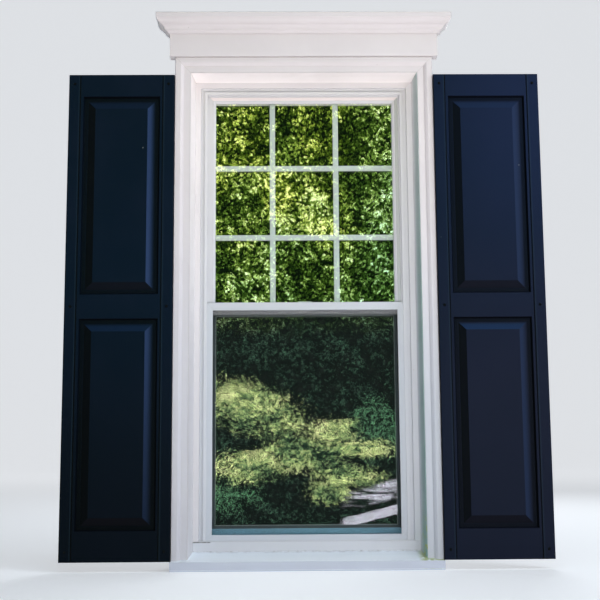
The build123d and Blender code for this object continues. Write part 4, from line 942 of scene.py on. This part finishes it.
class Garden(Finish):
    """Trees, shade and lawn for the panes to reflect, at the place where the photograph has them."""

    def __init__(self, name):
        super().__init__(name)
        self.across, self.height = self.axis("X"), self.axis("Z")
        sway = self.noise(2.2, 3.0, 0.6, out="Color")
        self.bent = self.node("ShaderNodeVectorMath", {"operation": "MULTIPLY_ADD"},
                              {0: sway, 1: (0.10, 0.10, 0.10), 2: self.place})
        self.boughs = self.noise(4.5, 4.0, 0.6, self.bent)
        self.sprays = self.noise(29.0, 5.0, 0.7)
        self.clumps = self.axis("X", self.cells(13.0, self.bent, out="Color"))
        self.leaves = self.axis("X", self.cells(38.0, out="Color"))
        self.glints = self.noise(58.0, 3.0, 0.7)

    def oval(self, x, z, wide, tall, rise=0.0):
        """Above 0 inside one oval, 1 at its middle."""
        off = (self.across - x) / wide
        up = (self.height - z - (self.across - x) * rise) / tall
        return 1.0 - off * off - up * up

    def ovals(self, places):
        """Several ovals joined."""
        first, *others = places
        joined = self.oval(*first)
        for place in others:
            joined = joined.highest(self.oval(*place))
        return joined

    def crowns(self):
        """Sunlit leaves high up, cooler lower down and to the right."""
        groves = self.noise(0.75, 2.0, 0.5, self.shifted(3.1, 0.0, 1.7))
        light = (groves * 1.3 + self.boughs * 1.3 + self.leaves * 0.75 + self.clumps * 0.35
                 + self.sprays * 1.1 + self.glints * 0.9 - 2.47) / 0.92
        light = light + self.oval(*SUNLIT_CROWN).ease(-0.3, 0.5) * 0.20
        light = light - self.ovals(DARK_CROWNS).ease(-0.3, 0.5) * 0.17
        colour = self.node("ShaderNodeValToRGB", {"stops": CROWN_STOPS}, {0: light})
        drift = self.noise(1.3, 2.0, 0.5, self.shifted(7.7, 0.0, 2.9)).ease(0.45, 0.65)
        cool = self.height.ease(3.0, 2.3) * 0.45 + self.across.ease(0.5, 0.9) * 0.45 + drift * 0.35
        tint = self.mixed(cool, tone(1.10, 1.0, 0.75), tone(0.78, 0.98, 1.7))
        return self.node("ShaderNodeMix", {"data_type": "RGBA", "blend_type": "MULTIPLY"},
                         {0: 1.0, 6: colour, 7: tint}, 2)

    def ragged(self):
        """How far leaves and blades push an edge out or in."""
        return ((self.boughs - 0.5) * 2.4 + (self.sprays - 0.5) * 3.2
                + (self.glints - 0.5) * 2.6 + (self.leaves - 0.5) * 0.6)

    def shade(self, ragged):
        """Dark trees below the crowns, with a lighter shrub on each side."""
        lit = (self.boughs * 0.55 + self.glints * 0.5 + self.leaves * 0.32).ease(0.68, 0.98)
        base = self.mixed(lit, tone(0.028, 0.06, 0.042), tone(0.60, 1.25, 0.85))
        shrubs = self.oval(*RIGHT_SHRUB).highest(self.oval(*LEFT_SHRUB) - 0.3)
        shrubs = (shrubs + ragged).ease(0.0, 0.6) * (self.sprays * 0.9 + self.leaves * 0.3).ease(0.42, 0.75)
        return self.mixed(shrubs, base, tone(1.25, 2.9, 1.6))

    def grass(self, open_grass):
        """Dappled turf, brightest in the middle of the open ground."""
        turf = self.noise(24.0, 5.0, 0.75, self.stretched(0.55, 1.0, 1.5))
        dapple = self.noise(3.4, 3.0, 0.6, self.stretched(0.6, 1.0, 1.6))
        light = (dapple * 2.6 + self.clumps * 0.20 + self.leaves * 0.55 + turf * 1.6
                 + self.glints * 1.9 - 3.02) / 0.95
        light = light + open_grass.ease(-0.3, 0.8) * 0.26 - 0.16
        return self.node("ShaderNodeValToRGB", {"stops": GRASS_STOPS}, {0: light})

    def drive(self):
        """1 on the two pale strips of the drive, low down on the right."""
        kerb = self.height - self.across * DRIVE_SLOPE + (self.sprays - 0.5) * 0.10
        streaks = self.noise(6.0, 4.0, 0.6, self.stretched(0.35, 1.0, 2.4)).ease(0.40, 0.54)
        near_strip = kerb.ease(-0.60, -0.62) * kerb.ease(-0.72, -0.70) * self.across.ease(0.50, 0.62)
        far_strip = kerb.ease(-0.31, -0.36) * kerb.ease(-0.55, -0.50) * self.across.ease(0.50, 0.85)
        return near_strip.highest(far_strip * streaks)


def garden_light():
    """The garden as light that only reflections show."""
    garden = Garden("garden_light")
    ragged = garden.ragged()
    open_grass = garden.ovals(OPEN_GRASS)
    base = garden.mixed(garden.height.ease(*CANOPY_FOOT), garden.shade(ragged), garden.crowns())
    base = garden.mixed((open_grass + ragged).ease(-0.20, 0.70), base, garden.grass(open_grass))
    base = garden.mixed(garden.drive(), base, tone(10.6, 9.7, 12.0))
    glow = garden.node("ShaderNodeEmission", None, {"Color": base, "Strength": 1.0})
    return garden.done(garden.node("ShaderNodeMixShader", None, {
        0: garden.seen_by("Glossy Depth") > 0.5, 1: garden.node("ShaderNodeBsdfTransparent"), 2: glow}))


def unlit_room():
    """The dark room behind the panes."""
    room = Finish("unlit_room")
    cloud = room.noise(2.0, 2.0)
    base = room.mixed(cloud, tone(0.002, 0.003, 0.003), tone(0.005, 0.007, 0.006))
    return room.done(room.node("ShaderNodeEmission", None, {"Color": base, "Strength": 1.0}))


def only_seen_by(piece, glossy=False, transmission=False):
    """Hides a stage piece from every ray but reflections or rays through glass."""
    piece.visible_camera = False
    piece.visible_diffuse = False
    piece.visible_glossy = glossy
    piece.visible_transmission = transmission
    piece.visible_volume_scatter = False
    piece.visible_shadow = False


def studio_air():
    """The world: weak as light on the window, bright where it is seen or reflected."""
    world = bpy.data.worlds.new("studio_air")
    world.use_nodes = True
    air = Nodes(world.node_tree)
    camera, glossy, through = (air.node("ShaderNodeLightPath", out=ray) for ray in (
        "Is Camera Ray", "Is Glossy Ray", "Is Transmission Ray"))
    seen = (camera + glossy + through).lowest(1.0)
    background = air.node("ShaderNodeBackground", None, {
        "Color": tone(0.90, 0.95, 1.0), "Strength": seen * (AIR_SEEN - AIR_LIGHT) + AIR_LIGHT})
    air.node("ShaderNodeOutputWorld", None, {"Surface": background})
    return world


def set_studio():
    """Sweep, cards, lamps and air."""
    sweep = add_stage("studio_sweep", sweep_mesh(), sweep_paint())
    sweep.visible_glossy = False
    sweep.visible_transmission = False
    lit_card = upright_card("garden_card", half_width=9.0, y=-8.0, low=-1.2, high=6.5)
    garden = add_stage("garden_card", lit_card, garden_light())
    garden.active_material.cycles.emission_sampling = "NONE"
    only_seen_by(garden, glossy=True, transmission=True)
    dark_card = upright_card("room_card", half_width=0.375, y=0.176, low=0.06, high=1.71)
    room = add_stage("room_card", dark_card, unlit_room())
    room.active_material.cycles.emission_sampling = "NONE"
    only_seen_by(room, transmission=True)
    middle = (0.0, 0.0, 1.0)
    add_lamp("key_lamp", (3.5, -2.5, 3.2), middle, size=(1.8, 1.8), watts=67.0, colour=(0.92, 0.96, 1.0))
    add_lamp("top_lamp", (0.4, -1.6, 4.7), middle, size=(2.4, 2.4), watts=38.0, colour=(0.79, 0.90, 1.0))
    add_lamp("back_lamp", (1.2, 3.3, 3.2), middle, size=(2.0, 2.0), watts=70.0, colour=(1.0, 1.0, 1.0))
    bounce = add_lamp("bounce_lamp", (0.3, -1.8, 0.06), (0.2, -1.0, 1.75), size=(2.4, 1.2), watts=100.0,
                      colour=(1.0, 0.915, 0.885))
    bounce.visible_camera = False
    bounce.visible_glossy = False
    bounce.visible_transmission = False
    bpy.context.scene.world = studio_air()
    bpy.context.scene.view_settings.view_transform = "Standard"


set_camera()
set_studio()
